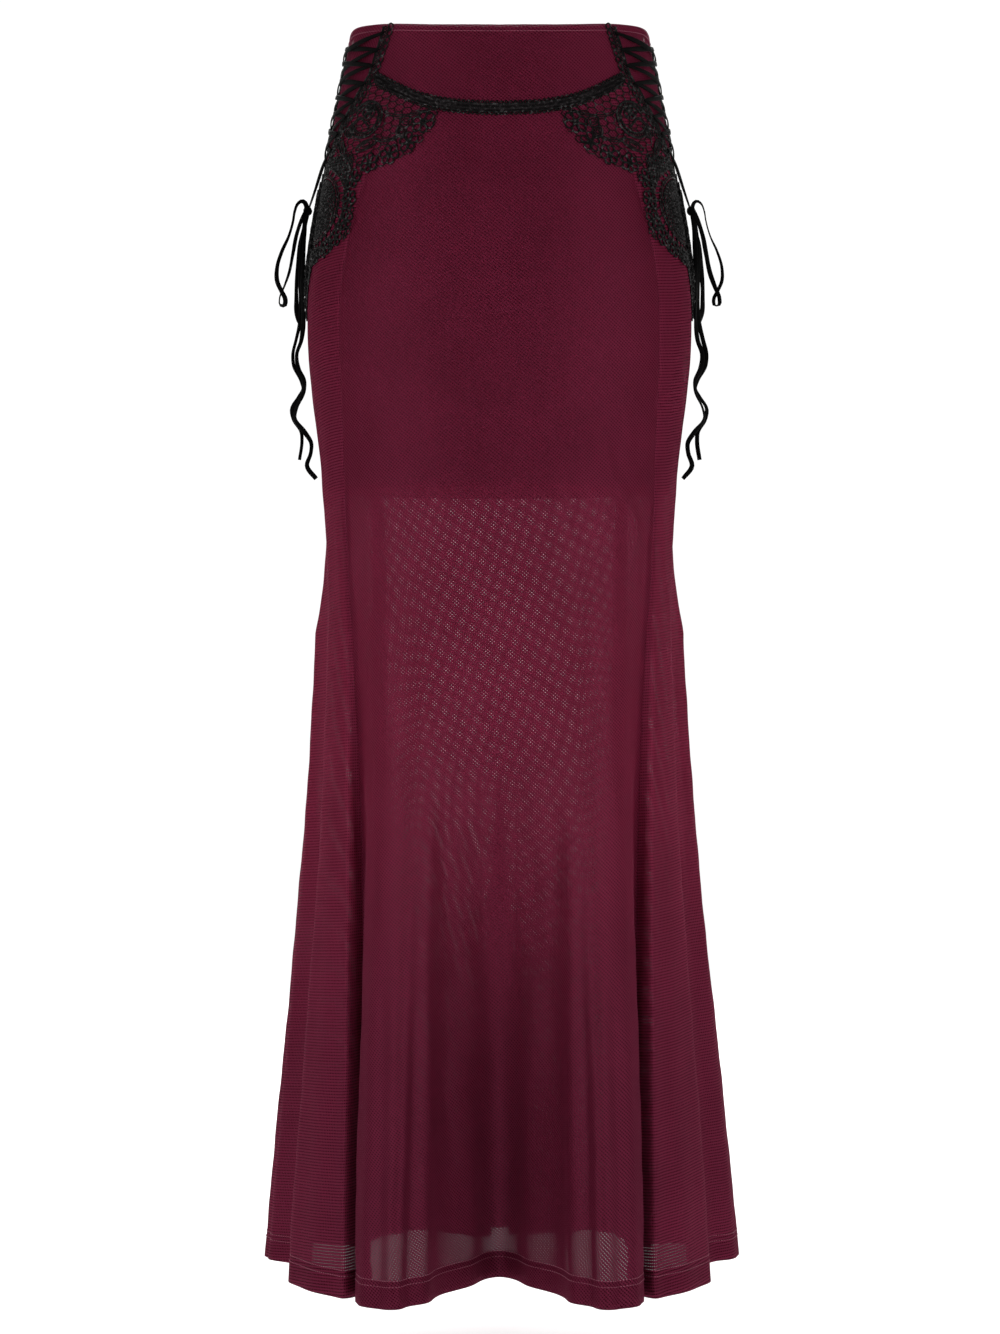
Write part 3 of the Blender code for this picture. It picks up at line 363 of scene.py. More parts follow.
def new_finish(name, roughness, sheen=0.0, tint=(1.0, 1.0, 1.0), specular=0.3):
    """A material with its constants set on the shader's own sockets."""
    material = bpy.data.materials.new(name)
    material.use_nodes = True
    shader = material.node_tree.nodes["Principled BSDF"]
    set_inputs(shader, {"Roughness": roughness, "Sheen Weight": sheen, "Sheen Roughness": 0.38,
                        "Sheen Tint": (*tint, 1.0), "Specular IOR Level": specular})
    return material, material.node_tree, shader


# %% Texture helpers
def waves_along(tree, across, down, per_across, per_down):
    """A sine wave over the grain, given its waves per metre each way."""
    phase = sum_of(tree, "ADD", sum_of(tree, "MULTIPLY", across, per_across * 2 * math.pi),
                   sum_of(tree, "MULTIPLY", down, per_down * 2 * math.pi))
    return sum_of(tree, "SINE", phase, 0.0)


def grain_axes(tree):
    """The two axes of the piece's own grain map."""
    source = add_node(tree, "ShaderNodeUVMap", uv_map="grain")
    axes = add_node(tree, "ShaderNodeSeparateXYZ")
    tree.links.new(source.outputs["UV"], axes.inputs[0])
    return axes.outputs["X"], axes.outputs["Y"]


def speckle(tree, scale, detail=2.0):
    """Noise over the object, in metres."""
    place = add_node(tree, "ShaderNodeTexCoord")
    noise = add_node(tree, "ShaderNodeTexNoise", {"Scale": scale, "Detail": detail})
    tree.links.new(place.outputs["Object"], noise.inputs["Vector"])
    return noise.outputs["Fac"]


def raised(tree, shader, height, strength, distance):
    """Bump from a height, on the shader's normal."""
    bump = add_node(tree, "ShaderNodeBump", {"Strength": strength, "Distance": distance})
    link_nodes(tree, (height, bump.inputs["Height"]),
               (bump.outputs["Normal"], shader.inputs["Normal"]))


# %% [markdown]
# ## Black finishes
# Lacing tape, lace thread and braid are all black rayon: dark, with a little real gloss.
# On the lace and the braid a grey gleam is also painted into the colour, in patches along
# the twist: painted highlight on the lace, mostly the braid's own dark grey on the braid.
# Their twist is a fine wave in the bump.

# %% Black thread and tape
tape_black, tree, shader = new_finish("tape_black", 0.50, 0.0, (0.6, 0.6, 0.62), 0.03)
across, down = grain_axes(tree)
plait = sum_of(tree, "MULTIPLY", waves_along(tree, across, down, 1100, 900),
               waves_along(tree, across, down, 1100, -900))
worn = speckle(tree, 260.0)
shade = sum_of(tree, "ADD", sum_of(tree, "MULTIPLY", plait, 0.3), worn)
link_nodes(tree, (mixed_colours(tree, stepped(tree, shade, 0.2, 0.9), (0.0004, 0.0004, 0.0004),
                                (0.0036, 0.0033, 0.0034)), shader.inputs["Base Color"]))
raised(tree, shader, plait, 0.5, 0.0003)


def thread_finish(name, dark, light, twist_scale, patch_edges):
    """Wound thread: fine slanted twist, and a grey gleam painted into its colour in patches, a
    painted highlight (on the braid mostly its own dark grey).
    """
    material, tree, shader = new_finish(name, 0.32, 0.0, (0.7, 0.7, 0.72), 0.10)
    place = add_node(tree, "ShaderNodeTexCoord")
    twist = add_node(tree, "ShaderNodeTexWave", {"Scale": twist_scale, "Distortion": 2.5,
                                                 "Detail": 1.0}, bands_direction="DIAGONAL")
    tree.links.new(place.outputs["Object"], twist.inputs["Vector"])
    # painted highlight: grey patches along the twist lighten the base colour wherever they fall,
    # not where the light falls; on the braid mostly its own dark grey
    painted_gleam_and_tone = stepped(tree, speckle(tree, 420.0), *patch_edges)
    shade = sum_of(tree, "MULTIPLY", twist.outputs["Fac"], painted_gleam_and_tone)
    link_nodes(tree, (mixed_colours(tree, shade, dark, light), shader.inputs["Base Color"]))
    raised(tree, shader, twist.outputs["Fac"], 0.45, 0.0003)
    return material


# the lace's light colour is painted highlight, grey on near-black thread
lace_black = thread_finish("lace_black", (0.0003, 0.0003, 0.0003), (0.095, 0.090, 0.091), 420.0,
                           (0.52, 0.68))
# the braid's light colour is mostly its own dark grey, with a little painted highlight
braid_black = thread_finish("braid_black", (0.0040, 0.0026, 0.0031), (0.048, 0.030, 0.036), 380.0,
                            (0.25, 0.60))
print("black finishes", [paint.name for paint in (tape_black, lace_black, braid_black)])

# %% [markdown]
# ## Bows
# At the foot of each lacing the tape is tied in a bow: a long and a short loop that fall
# open, and two wavy tails with plain cut ends.  They hang free, and each follows the same
# route as its solid; its real length is printed.

# %% Bow routes
LONG_LOOP_MM = table(
    "x y drop",
    (155.4, -2.0, 128.0), (157.6, -3.0, 126.6), (160.8, -4.5, 128.6), (163.4, -6.5, 135.0),
    (164.6, -8.5, 143.0), (168.0, -12.0, 156.0), (173.0, -16.0, 168.0), (176.6, -20.0, 181.0),
    (176.4, -23.0, 193.0), (172.6, -24.6, 201.5), (170.0, -23.8, 207.0), (171.0, -21.6, 212.0),
    (174.4, -20.2, 211.4), (174.8, -19.2, 206.0), (171.4, -18.0, 197.0), (167.4, -15.6, 185.0),
    (164.6, -13.0, 170.0), (161.6, -11.0, 154.0), (157.6, -10.4, 142.0), (154.6, -8.6, 135.6),
)
SHORT_LOOP_MM = table(
    "x y drop",
    (154.8, 4.9, 138.9), (156.6, 7.0, 147.0), (160.2, 10.5, 161.0), (162.4, 14.0, 181.0),
    (163.4, 16.5, 201.0), (162.4, 19.0, 216.0), (159.8, 22.0, 221.6), (158.4, 24.8, 215.0),
    (158.0, 25.6, 199.0), (157.8, 23.6, 179.0), (157.2, 19.0, 159.0), (155.8, 13.0, 143.0),
    (154.4, 8.8, 135.4),
)
TAIL_A_MM = table(
    "x y drop",
    (155.0, 1.7, 138.9), (157.6, 2.4, 152.0), (159.0, 3.4, 173.0), (159.2, 4.0, 197.0),
    (159.6, 4.4, 222.0), (163.0, 4.6, 237.0), (165.6, 4.8, 249.0), (165.0, 5.0, 257.0),
    (158.2, 5.4, 270.0), (156.8, 5.6, 276.0), (160.2, 6.0, 282.0), (166.2, 6.2, 293.0),
    (164.8, 6.4, 300.0), (158.8, 6.6, 311.0), (158.4, 6.8, 318.0), (160.4, 7.0, 333.0),
)
TAIL_B_MM = table(
    "x y drop",
    (155.0, -1.7, 138.9), (155.8, -1.6, 152.0), (156.8, -1.4, 172.0), (157.4, -1.0, 200.0),
    (157.2, -0.6, 228.0), (158.6, -0.4, 238.0), (162.2, -0.2, 249.0), (160.6, 0.2, 261.0),
    (156.4, 0.6, 270.0), (156.6, 0.9, 278.0), (162.6, 1.2, 292.0), (164.0, 1.4, 299.0),
    (155.6, 1.2, 311.5), (150.6, 0.6, 320.0), (151.0, 0.0, 328.0), (154.0, -0.6, 338.0),
    (146.6, -1.2, 348.5),
)
BOW_PARTS = table(
    "name route far_end facing swing waves spread",
    ("long_loop", LONG_LOOP_MM, "object", 0.04, 0.16, 1.4, 0.10),
    ("short_loop", SHORT_LOOP_MM, "object", -0.06, 0.14, 1.1, 0.50),
    ("tail_a", TAIL_A_MM, "bare", 0.04, 0.20, 2.3, 0.0),
    ("tail_b", TAIL_B_MM, "bare", -0.08, 0.22, 2.6, 0.0),
)
MM = 0.001
BOW_STEP = 0.0022
BOW_FIRST_FACING = np.array([0.3, -1.0, 0.1])
TAPE_WAVER = 0.10           # share of its width by which a hanging tape narrows and widens
KNOT_CENTRE_MM = (153.4, 0.0, 134.0)
INTO_KNOT = 0.35            # a strand starts at this share of its way out of the knot
SIDES = (("left", 1.0), ("right", -1.0))


def on_side(point, side):
    """A point of a route, in millimetres, as a place in space on one side."""
    x, y, drop = point
    return np.array((x * side, y, -drop)) * MM


print("bow parts", [part.name for part in BOW_PARTS])

# %% Bow loops and tails
free_cords = {}
for word, side in SIDES:
    for part in BOW_PARTS:
        route = [on_side(row, side) for row in part.route]
        knot = on_side(KNOT_CENTRE_MM, side)
        hidden = [knot + INTO_KNOT * (end - knot) for end in (route[0], route[-1])]
        whole = hidden[:1] + route + (hidden[1:] if part.far_end == "object" else [])
        points, length = spaced(whole, BOW_STEP)
        along, normals = carried_frames(points, BOW_FIRST_FACING)
        share = np.linspace(0.0, 1.0, len(points))
        swung = part.swing * np.sin(2 * math.pi * part.waves * share + 6.0 * part.facing)
        angle = ((part.facing + swung) * math.pi * side)[:, None]
        normals = normals * np.cos(angle) + np.cross(along, normals) * np.sin(angle)
        width = RIBBON_WIDTH * (1.0 - TAPE_WAVER * np.sin(23.0 * share + part.facing) ** 2
                                + part.spread * np.exp(-((share - 0.5) / 0.07) ** 2))
        name = f"ribbon_{part.name}_{word}"
        ribbon = sweep_ribbon(name, points, along, normals, width, RIBBON_THICKNESS, tape_black)
        free_cords[name] = (ribbon, part, points, length)
        print(name, round(length, 4), "m")

# %% [markdown]
# ## The wearer's figure and the flared hem
# The skirt is skin-tight from waist to knee, then opens in folds.  Both shapes are tables:
# oval sections of a general figure by height, and the plan of the hem fold by fold.  A
# place on the cloth is given by `share` (0 centre front, 1 side line, 2 centre back) and
# by `drop`, its distance below the waist edge.

# %% Figure and hem tables
LENGTH = 0.983
FLARE_START = 0.415
GODET_START = 0.500
FLARE_SOFTNESS = 0.05
KNEE_TOP = 0.340
KNEE_END = 0.470
KNEE_SEAM_SHARE = 0.71
BACK_SEAM_SHARE = 1.47
YOKE_END_SHARE = 0.595
WAIST_BORDER_SHARE = 0.540
LACING_END_DROP = 0.134

FIGURE = table(
    "drop half_width front back squareness",
    (0.000, 0.1200, 0.0880, 0.0900, 2.45),
    (0.020, 0.1232, 0.0905, 0.0945, 2.42),
    (0.040, 0.1270, 0.0930, 0.0995, 2.38),
    (0.080, 0.1350, 0.0980, 0.1100, 2.30),
    (0.120, 0.1414, 0.1020, 0.1210, 2.24),
    (0.160, 0.1482, 0.1050, 0.1300, 2.20),
    (0.200, 0.1528, 0.1070, 0.1360, 2.18),
    (0.240, 0.1532, 0.1070, 0.1380, 2.16),
    (0.280, 0.1500, 0.1060, 0.1345, 2.14),
    (0.320, 0.1448, 0.1045, 0.1275, 2.12),
    (0.360, 0.1412, 0.1030, 0.1205, 2.10),
    (0.400, 0.1384, 0.1020, 0.1155, 2.08),
    (0.460, 0.1352, 0.1010, 0.1120, 2.05),
    (0.983, 0.1330, 0.1000, 0.1100, 2.00),
)
WAIST_EDGE = table(
    "share drop",
    (0.00, 0.0000), (0.30, -0.0010), (0.600, -0.0045), (0.80, -0.0050), (1.00, 0.0010),
    (1.30, 0.0000), (2.00, 0.0000),
)
YOKE_LINE = table(
    "share drop",
    (0.000, 0.0665), (0.195, 0.0640), (0.354, 0.0570), (0.470, 0.0475), (0.595, 0.0360),
)
FRONT_SEAM = table(
    "drop from_side",
    (0.040, 0.0970), (0.080, 0.0910), (0.120, 0.0845), (0.160, 0.0785), (0.200, 0.0750),
    (0.242, 0.0734), (0.305, 0.0658), (0.368, 0.0580), (0.446, 0.0545),
)
HEM = table(
    "name share x y rise opens_at",
    ("front_centre", 0.00, 0.000, -0.062, 0.006, FLARE_START),
    ("front_slope", 0.20, 0.040, -0.110, 0.002, FLARE_START),
    ("front_lobe", 0.42, 0.081, -0.178, 0.000, FLARE_START),
    ("front_lobe_edge", 0.54, 0.106, -0.160, 0.000, FLARE_START),
    ("front_seam_valley", 0.71, 0.103, -0.102, 0.000, FLARE_START),
    ("side_front_lobe", 0.79, 0.122, -0.126, 0.000, FLARE_START),
    ("side_front_face", 0.86, 0.149, -0.088, 0.000, FLARE_START),
    ("side_front_edge", 0.93, 0.165, -0.034, 0.000, FLARE_START),
    ("side_valley", 1.00, 0.152, 0.014, 0.000, FLARE_START),
    ("side_back_inner", 1.08, 0.168, 0.042, 0.000, 0.340),
    ("side_back_lobe", 1.17, 0.1935, 0.072, 0.000, 0.250),
    ("side_back_face", 1.27, 0.182, 0.122, 0.000, 0.250),
    ("side_back_turn", 1.37, 0.146, 0.152, 0.000, 0.300),
    ("back_seam_valley", 1.47, 0.112, 0.130, 0.000, 0.370),
    ("back_rise", 1.57, 0.104, 0.178, 0.000, FLARE_START),
    ("back_lobe", 1.68, 0.078, 0.222, 0.000, FLARE_START),
    ("back_slope", 1.80, 0.042, 0.206, 0.000, 0.440),
    ("godet_neck", 1.90, 0.009, 0.200, 0.000, 0.480),
    ("godet_head", 1.955, 0.026, 0.226, 0.000, GODET_START),
    ("godet_centre", 2.00, 0.000, 0.240, 0.000, GODET_START),
)
print("sections", len(FIGURE), "hem places", len(HEM))

# %% Sections of the figure
QUARTER_SAMPLES = 41


def column_of(rows, name):
    """One named column of a table."""
    return [getattr(row, name) for row in rows]


def measured_quarter(drop, in_front):
    """Running arc lengths of a quarter section, from its middle to the side."""
    sizes = [smooth(column_of(FIGURE, "drop"), column_of(FIGURE, name), drop)
             for name in ("half_width", "front", "back", "squareness")]
    half_width, squareness = sizes[0], sizes[3]
    depth = np.where(in_front, sizes[1], sizes[2])
    angles = np.linspace(0.0, math.pi / 2, QUARTER_SAMPLES)[None, :]
    radius = oval_radius(angles, half_width[:, None], depth[:, None], squareness[:, None])
    x, y = radius * np.sin(angles), radius * np.cos(angles)
    steps = np.hypot(np.diff(x, axis=1), np.diff(y, axis=1))
    running = np.concatenate([np.zeros((len(steps), 1)), np.cumsum(steps, axis=1)], axis=1)
    return running, (half_width, depth, squareness)


def oval_radius(angle, half_width, depth, squareness):
    """Distance from the axis to a squarish oval, at an angle from its middle."""
    across, along = np.abs(np.sin(angle)) / half_width, np.abs(np.cos(angle)) / depth
    return (across ** squareness + along ** squareness) ** (-1.0 / squareness)


def quarter_length(drop, in_front=True):
    """Arc length from the centre line to the side line."""
    running, _ = measured_quarter(np.atleast_1d(np.asarray(drop, float)), in_front)
    return running[:, -1]


def figure_plan(share, drop):
    """x and y of the close-fitting column, for shares from 0 to 2."""
    in_front = share <= 1.0
    running, sizes = measured_quarter(drop, in_front)
    wanted = np.clip(np.where(in_front, share, 2.0 - share), 0.0, 1.0) * running[:, -1]
    low = np.clip((running <= wanted[:, None]).sum(axis=1) - 1, 0, QUARTER_SAMPLES - 2)
    rows = np.arange(len(drop))
    start, end = running[rows, low], running[rows, low + 1]
    step = (math.pi / 2) / (QUARTER_SAMPLES - 1)
    angle = (low + (wanted - start) / (end - start)) * step
    radius = oval_radius(angle, *sizes)
    y = np.where(in_front, -1.0, 1.0) * radius * np.cos(angle)
    return radius * np.sin(angle), y


# %% Shares and the hem table
def folded_side(share):
    """Share brought to 0..2, and +1 or -1 for the side it lies on."""
    turned = np.mod(share + 2.0, 4.0) - 2.0
    return np.abs(turned), np.where(turned < 0.0, -1.0, 1.0)


def hem_value(name, share, sign=1.0):
    """One column of the hem table, carried on past both centre lines."""
    shares, values = column_of(HEM, "share"), column_of(HEM, name)
    before = [-s for s in shares[2:0:-1]]
    after = [4.0 - s for s in shares[-2:-4:-1]]
    values = ([sign * v for v in values[2:0:-1]] + values
              + [sign * v for v in values[-2:-4:-1]])
    return smooth(before + shares + after, values, share)


def share_above_knee(share, drop):
    """Where a column that has this share at the hem lies higher up."""
    from_side = smooth(column_of(FRONT_SEAM, "drop"), column_of(FRONT_SEAM, "from_side"), drop)
    seam = 1.0 - from_side / quarter_length(drop)
    in_front = share * seam / KNEE_SEAM_SHARE
    beside = 1.0 - (1.0 - share) * (1.0 - seam) / (1.0 - KNEE_SEAM_SHARE)
    moved = np.where(share < KNEE_SEAM_SHARE, in_front, beside)
    return np.where(share < 1.0, moved, share)


# %% Places on the cloth
NUDGE = 0.002


def flattened(share, drop):
    """Shares and drops as two equal rows of numbers, and the shape of their grid."""
    share, drop = np.broadcast_arrays(np.asarray(share, float), np.asarray(drop, float))
    return share.ravel(), drop.ravel(), share.shape


def skirt_place(share, drop):
    """Points on the cloth's outer face, columns named by their share at the hem."""
    share, drop, shape = flattened(share, drop)
    part, side = folded_side(share)
    x, y = figure_plan(share_above_knee(part, drop), drop)
    straight_x, straight_y = figure_plan(part, np.full_like(drop, LENGTH))
    opens_at = hem_value("opens_at", part)
    along = (drop - opens_at) / (LENGTH - opens_at)
    opened = (along + np.sqrt(along ** 2 + FLARE_SOFTNESS ** 2)) / 2
    opened = opened * np.clip((drop - KNEE_TOP) / (KNEE_END - KNEE_TOP), 0.0, 1.0)
    x = x + opened * (hem_value("x", part, -1.0) - straight_x)
    y = y + opened * (hem_value("y", part) - straight_y)
    return np.stack([side * x, y, -drop], axis=1).reshape(*shape, 3)


def column_place(share, drop):
    """Points on the close-fitting column, by share."""
    share, drop, shape = flattened(share, drop)
    part, side = folded_side(share)
    x, y = figure_plan(part, drop)
    return np.stack([side * x, y, -drop], axis=1).reshape(*shape, 3)


def hip_place(from_side, drop):
    """Points on the +X hip, by arc length from the side line, and their normals."""
    def place(u, d):
        lengths = np.where(u >= 0, quarter_length(d), quarter_length(d, False))
        x, y = figure_plan(1.0 - u / lengths, d)
        return np.stack([x, y, -d], axis=1)

    u, d = np.asarray(from_side, float).ravel(), np.asarray(drop, float).ravel()
    run = place(u - NUDGE, d) - place(u + NUDGE, d)
    down = place(u, d + NUDGE) - place(u, d - NUDGE)
    return place(u, d), unit(np.cross(down, run))


# %% [markdown]
# ## Drape
# The flare is never a clean cone.  Between the main folds run shorter, softer ridges and
# troughs, no two the same, and a few shallow drag lines cross the seat and the hips.  Each
# is one row of a table, so that it can be moved, lengthened or deepened by itself.

# %% Crease tables
FRONT_CREASES = table(
    "share drop_from drop_to width depth lean",
    (0.300, 0.520, 1.10, 0.040, 0.0053, 0.020), (0.335, 0.560, 1.10, 0.026, -0.0045, 0.030),
    (0.480, 0.600, 1.10, 0.030, -0.0042, -0.010), (0.610, 0.470, 1.10, 0.032, 0.0060, 0.000),
    (0.120, 0.640, 1.10, 0.045, 0.0045, 0.020), (0.815, 0.480, 1.10, 0.022, -0.0039, 0.000),
    (0.905, 0.520, 1.10, 0.018, 0.0033, 0.010),
)
BACK_CREASES = table(
    "share drop_from drop_to width depth lean",
    (1.110, 0.420, 1.10, 0.020, -0.0030, 0.010), (1.215, 0.500, 1.10, 0.022, 0.0045, 0.0),
    (1.330, 0.450, 1.10, 0.026, -0.0053, -0.02), (1.610, 0.560, 1.10, 0.020, 0.0053, 0.01),
    (1.745, 0.480, 1.10, 0.030, -0.0060, 0.020), (2.140, 0.640, 1.10, 0.024, -0.0067, 0.0),
    (2.255, 0.520, 1.10, 0.028, 0.0057, -0.010), (2.360, 0.600, 1.10, 0.022, -0.0045, 0.0),
    (2.480, 0.700, 1.10, 0.018, 0.0039, 0.010), (2.700, 0.540, 1.10, 0.024, 0.0045, 0.02),
    (2.830, 0.470, 1.10, 0.020, -0.0042, 0.0), (1.880, 0.620, 0.86, 0.016, 0.0036, 0.0),
)
DRAG_LINES = table(
    "share drop half_length half_height depth slope",
    (1.72, 0.046, 0.22, 0.0075, -0.0011, 0.012), (2.31, 0.058, 0.26, 0.0085, -0.0013, -0.016),
    (2.02, 0.082, 0.30, 0.0090, -0.0012, 0.004), (1.58, 0.118, 0.20, 0.0100, -0.0010, 0.030),
    (1.30, 0.292, 0.20, 0.0120, -0.0011, 0.060), (2.66, 0.305, 0.22, 0.0120, -0.0012, -0.050),
    (2.02, 0.318, 0.34, 0.0130, -0.0016, 0.010), (1.80, 0.352, 0.24, 0.0110, 0.0012, 0.020),
    (0.34, 0.332, 0.22, 0.0110, -0.0008, 0.030), (0.55, 0.372, 0.18, 0.0120, 0.0009, 0.060),
)
print("creases", len(FRONT_CREASES + BACK_CREASES), "drag lines", len(DRAG_LINES))

# %% Drape
CREASE_GROWTH = 0.75        # share of its length over which a crease deepens
CREASE_FADE = 0.12
SEAM_DIP = 0.0007
SEAM_HALF_WIDTH = 0.010     # in share
PUCKER_PITCH = 0.017
HEM_BAND = 0.021
HEM_DIP = 0.0005
HEM_DIP_HALF_WIDTH = 0.0018
UNEVENNESS = 0.00035
SHARE_LENGTH = 0.40         # about how many metres of cloth one share is
CALM_DROP = 0.24            # above it the cloth is stretched nearly even
CALM_FADE = 0.10
CALM_SHARE = 0.25


def relief(share, drop):
    """How far the cloth lies off its plain form, outwards."""
    part, _ = folded_side(share)
    all_round = np.mod(share, 4.0)
    amount = np.zeros_like(drop)
    for row in FRONT_CREASES + BACK_CREASES:
        place = part if row in FRONT_CREASES else all_round
        off = (place - row.share - row.lean * (drop - row.drop_from)) / row.width
        grown = np.clip((drop - row.drop_from) / (CREASE_GROWTH * (row.drop_to - row.drop_from)),
                        0, 1)
        faded = np.clip((row.drop_to + CREASE_FADE - drop) / CREASE_FADE, 0, 1)
        amount += row.depth * np.exp(-off ** 2) * grown ** 2 * (3 - 2 * grown) * faded
    for row in DRAG_LINES:
        place = part if row.share < 1.0 else all_round
        off = (place - row.share) / row.half_length
        level = (drop - row.drop - row.slope * off) / row.half_height
        amount += row.depth * np.exp(-off ** 4 - level ** 2)
    u, v = share * SHARE_LENGTH, drop
    uneven = (np.sin(95 * u + 31 * v + 1.0) * np.sin(67 * v - 40 * u) + 0.6
              * np.sin(160 * u - 90 * v) * np.sin(120 * v + 2.0))
    slack = np.clip((drop - CALM_DROP) / CALM_FADE, 0.0, 1.0)
    return amount + UNEVENNESS * uneven * (CALM_SHARE + (1.0 - CALM_SHARE) * slack)


def seam_dip(share, drop):
    """The small hollow that a princess seam draws in."""
    part, _ = folded_side(share)
    dip = np.exp(-((part - KNEE_SEAM_SHARE) / SEAM_HALF_WIDTH) ** 2)
    dip = dip + np.exp(-((part - BACK_SEAM_SHARE) / SEAM_HALF_WIDTH) ** 2)
    pucker = 1.0 + 0.35 * np.sin(drop * 2 * math.pi / PUCKER_PITCH)
    return -SEAM_DIP * dip * pucker


def hem_dip(height):
    """The line that the hem's stitches draw in, by height above the hem."""
    return -HEM_DIP * np.exp(-((height - HEM_BAND) / HEM_DIP_HALF_WIDTH) ** 2)


# %% Seam lines
def waist_drop(share):
    """Drop of the waist edge."""
    return smooth(column_of(WAIST_EDGE, "share"), column_of(WAIST_EDGE, "drop"), np.abs(share))


def panel_top(share):
    """Drop of the seam along the top of the panels below yoke and lacing."""
    share = np.abs(share)
    yoke = smooth(column_of(YOKE_LINE, "share"), column_of(YOKE_LINE, "drop"), share)
    end = YOKE_LINE[-1].drop
    sloped = end + (share - YOKE_END_SHARE) / (1.0 - YOKE_END_SHARE) * (LACING_END_DROP - end)
    return np.where(share <= YOKE_END_SHARE, yoke, sloped)


def top_of_column(share):
    """Share and drop at which a panel's column meets its top seam."""
    part, side = folded_side(np.atleast_1d(np.asarray(share, float)))
    drop = np.full_like(part, LACING_END_DROP / 2)
    for _ in range(25):
        drop = panel_top(share_above_knee(part, drop))
    return share_above_knee(part, drop) * side, drop


def share_at_hem(share, drop):
    """The hem share of the column that passes through a place higher up."""
    low, high = 0.0, 1.0
    for _ in range(40):
        middle = (low + high) / 2
        if share_above_knee(np.array([middle]), np.array([drop]))[0] < share:
            low = middle
        else:
            high = middle
    return middle


# %% [markdown]
# ## Mesh cloth
# The skirt is two faces of the same fine stretch mesh.  On the front and back its rows of
# holes run on the slant; on the side panels the cloth is turned, and its courses show as
# level ribs.  Both are waves over the cloth's own grain, with real holes in the alpha, so
# the lining and the far side show through just as far as the holes let them.  The side
# panels' colour is also lighter: partly the turned grain, partly painted sheen of their
# turned-away faces.  Over the thighs the mesh is stretched open.  Below them it hangs
# slack, so its holes close and it passes less light, and its glow from behind is darker:
# partly the slack knit, partly painted shade of the flare's overlapping folds.  In the
# godet at the back it is gathered closer still.

# %% Mesh cloth finish
CLOTH_DARK = (0.036, 0.0022, 0.0078)
CLOTH_LIGHT = (0.190, 0.0170, 0.0510)
# the ribbed side panels are lighter: partly their turned grain, partly painted sheen of their
# turned-away faces
RIB_GRAIN_AND_PAINTED_SHEEN = (0.245, 0.0220, 0.0640)
SHINE_THROUGH = (0.64, 0.190, 0.310)
# darker glow of the flare: partly the slack knit, partly painted shade of its overlapping folds
SLACK_GLOW_AND_PAINTED_SHADE = (0.25, 0.062, 0.112)
SHEEN_TINT = (0.80, 0.12, 0.26)
SATIN_GLOSS = (0.052, 0.0080, 0.0175, 1.0)
SATIN_ROUGHNESS = 0.50
BACKLIT_SHARE = 0.52        # of the light that comes through the yarn
# below these drops the holes close and the glow darkens: partly slack knit, partly painted shade
# of the flare
SLACK_AND_SHADED_DROPS = (0.54, 0.94)    # stretched open above, slack below
CLOSED_SHARE = 0.55         # of a stretched hole that stays open when slack
GODET_APEX = 0.595
GODET_SPREAD = 0.077        # half its width, per metre below its apex
GODET_OPENNESS = 0.10


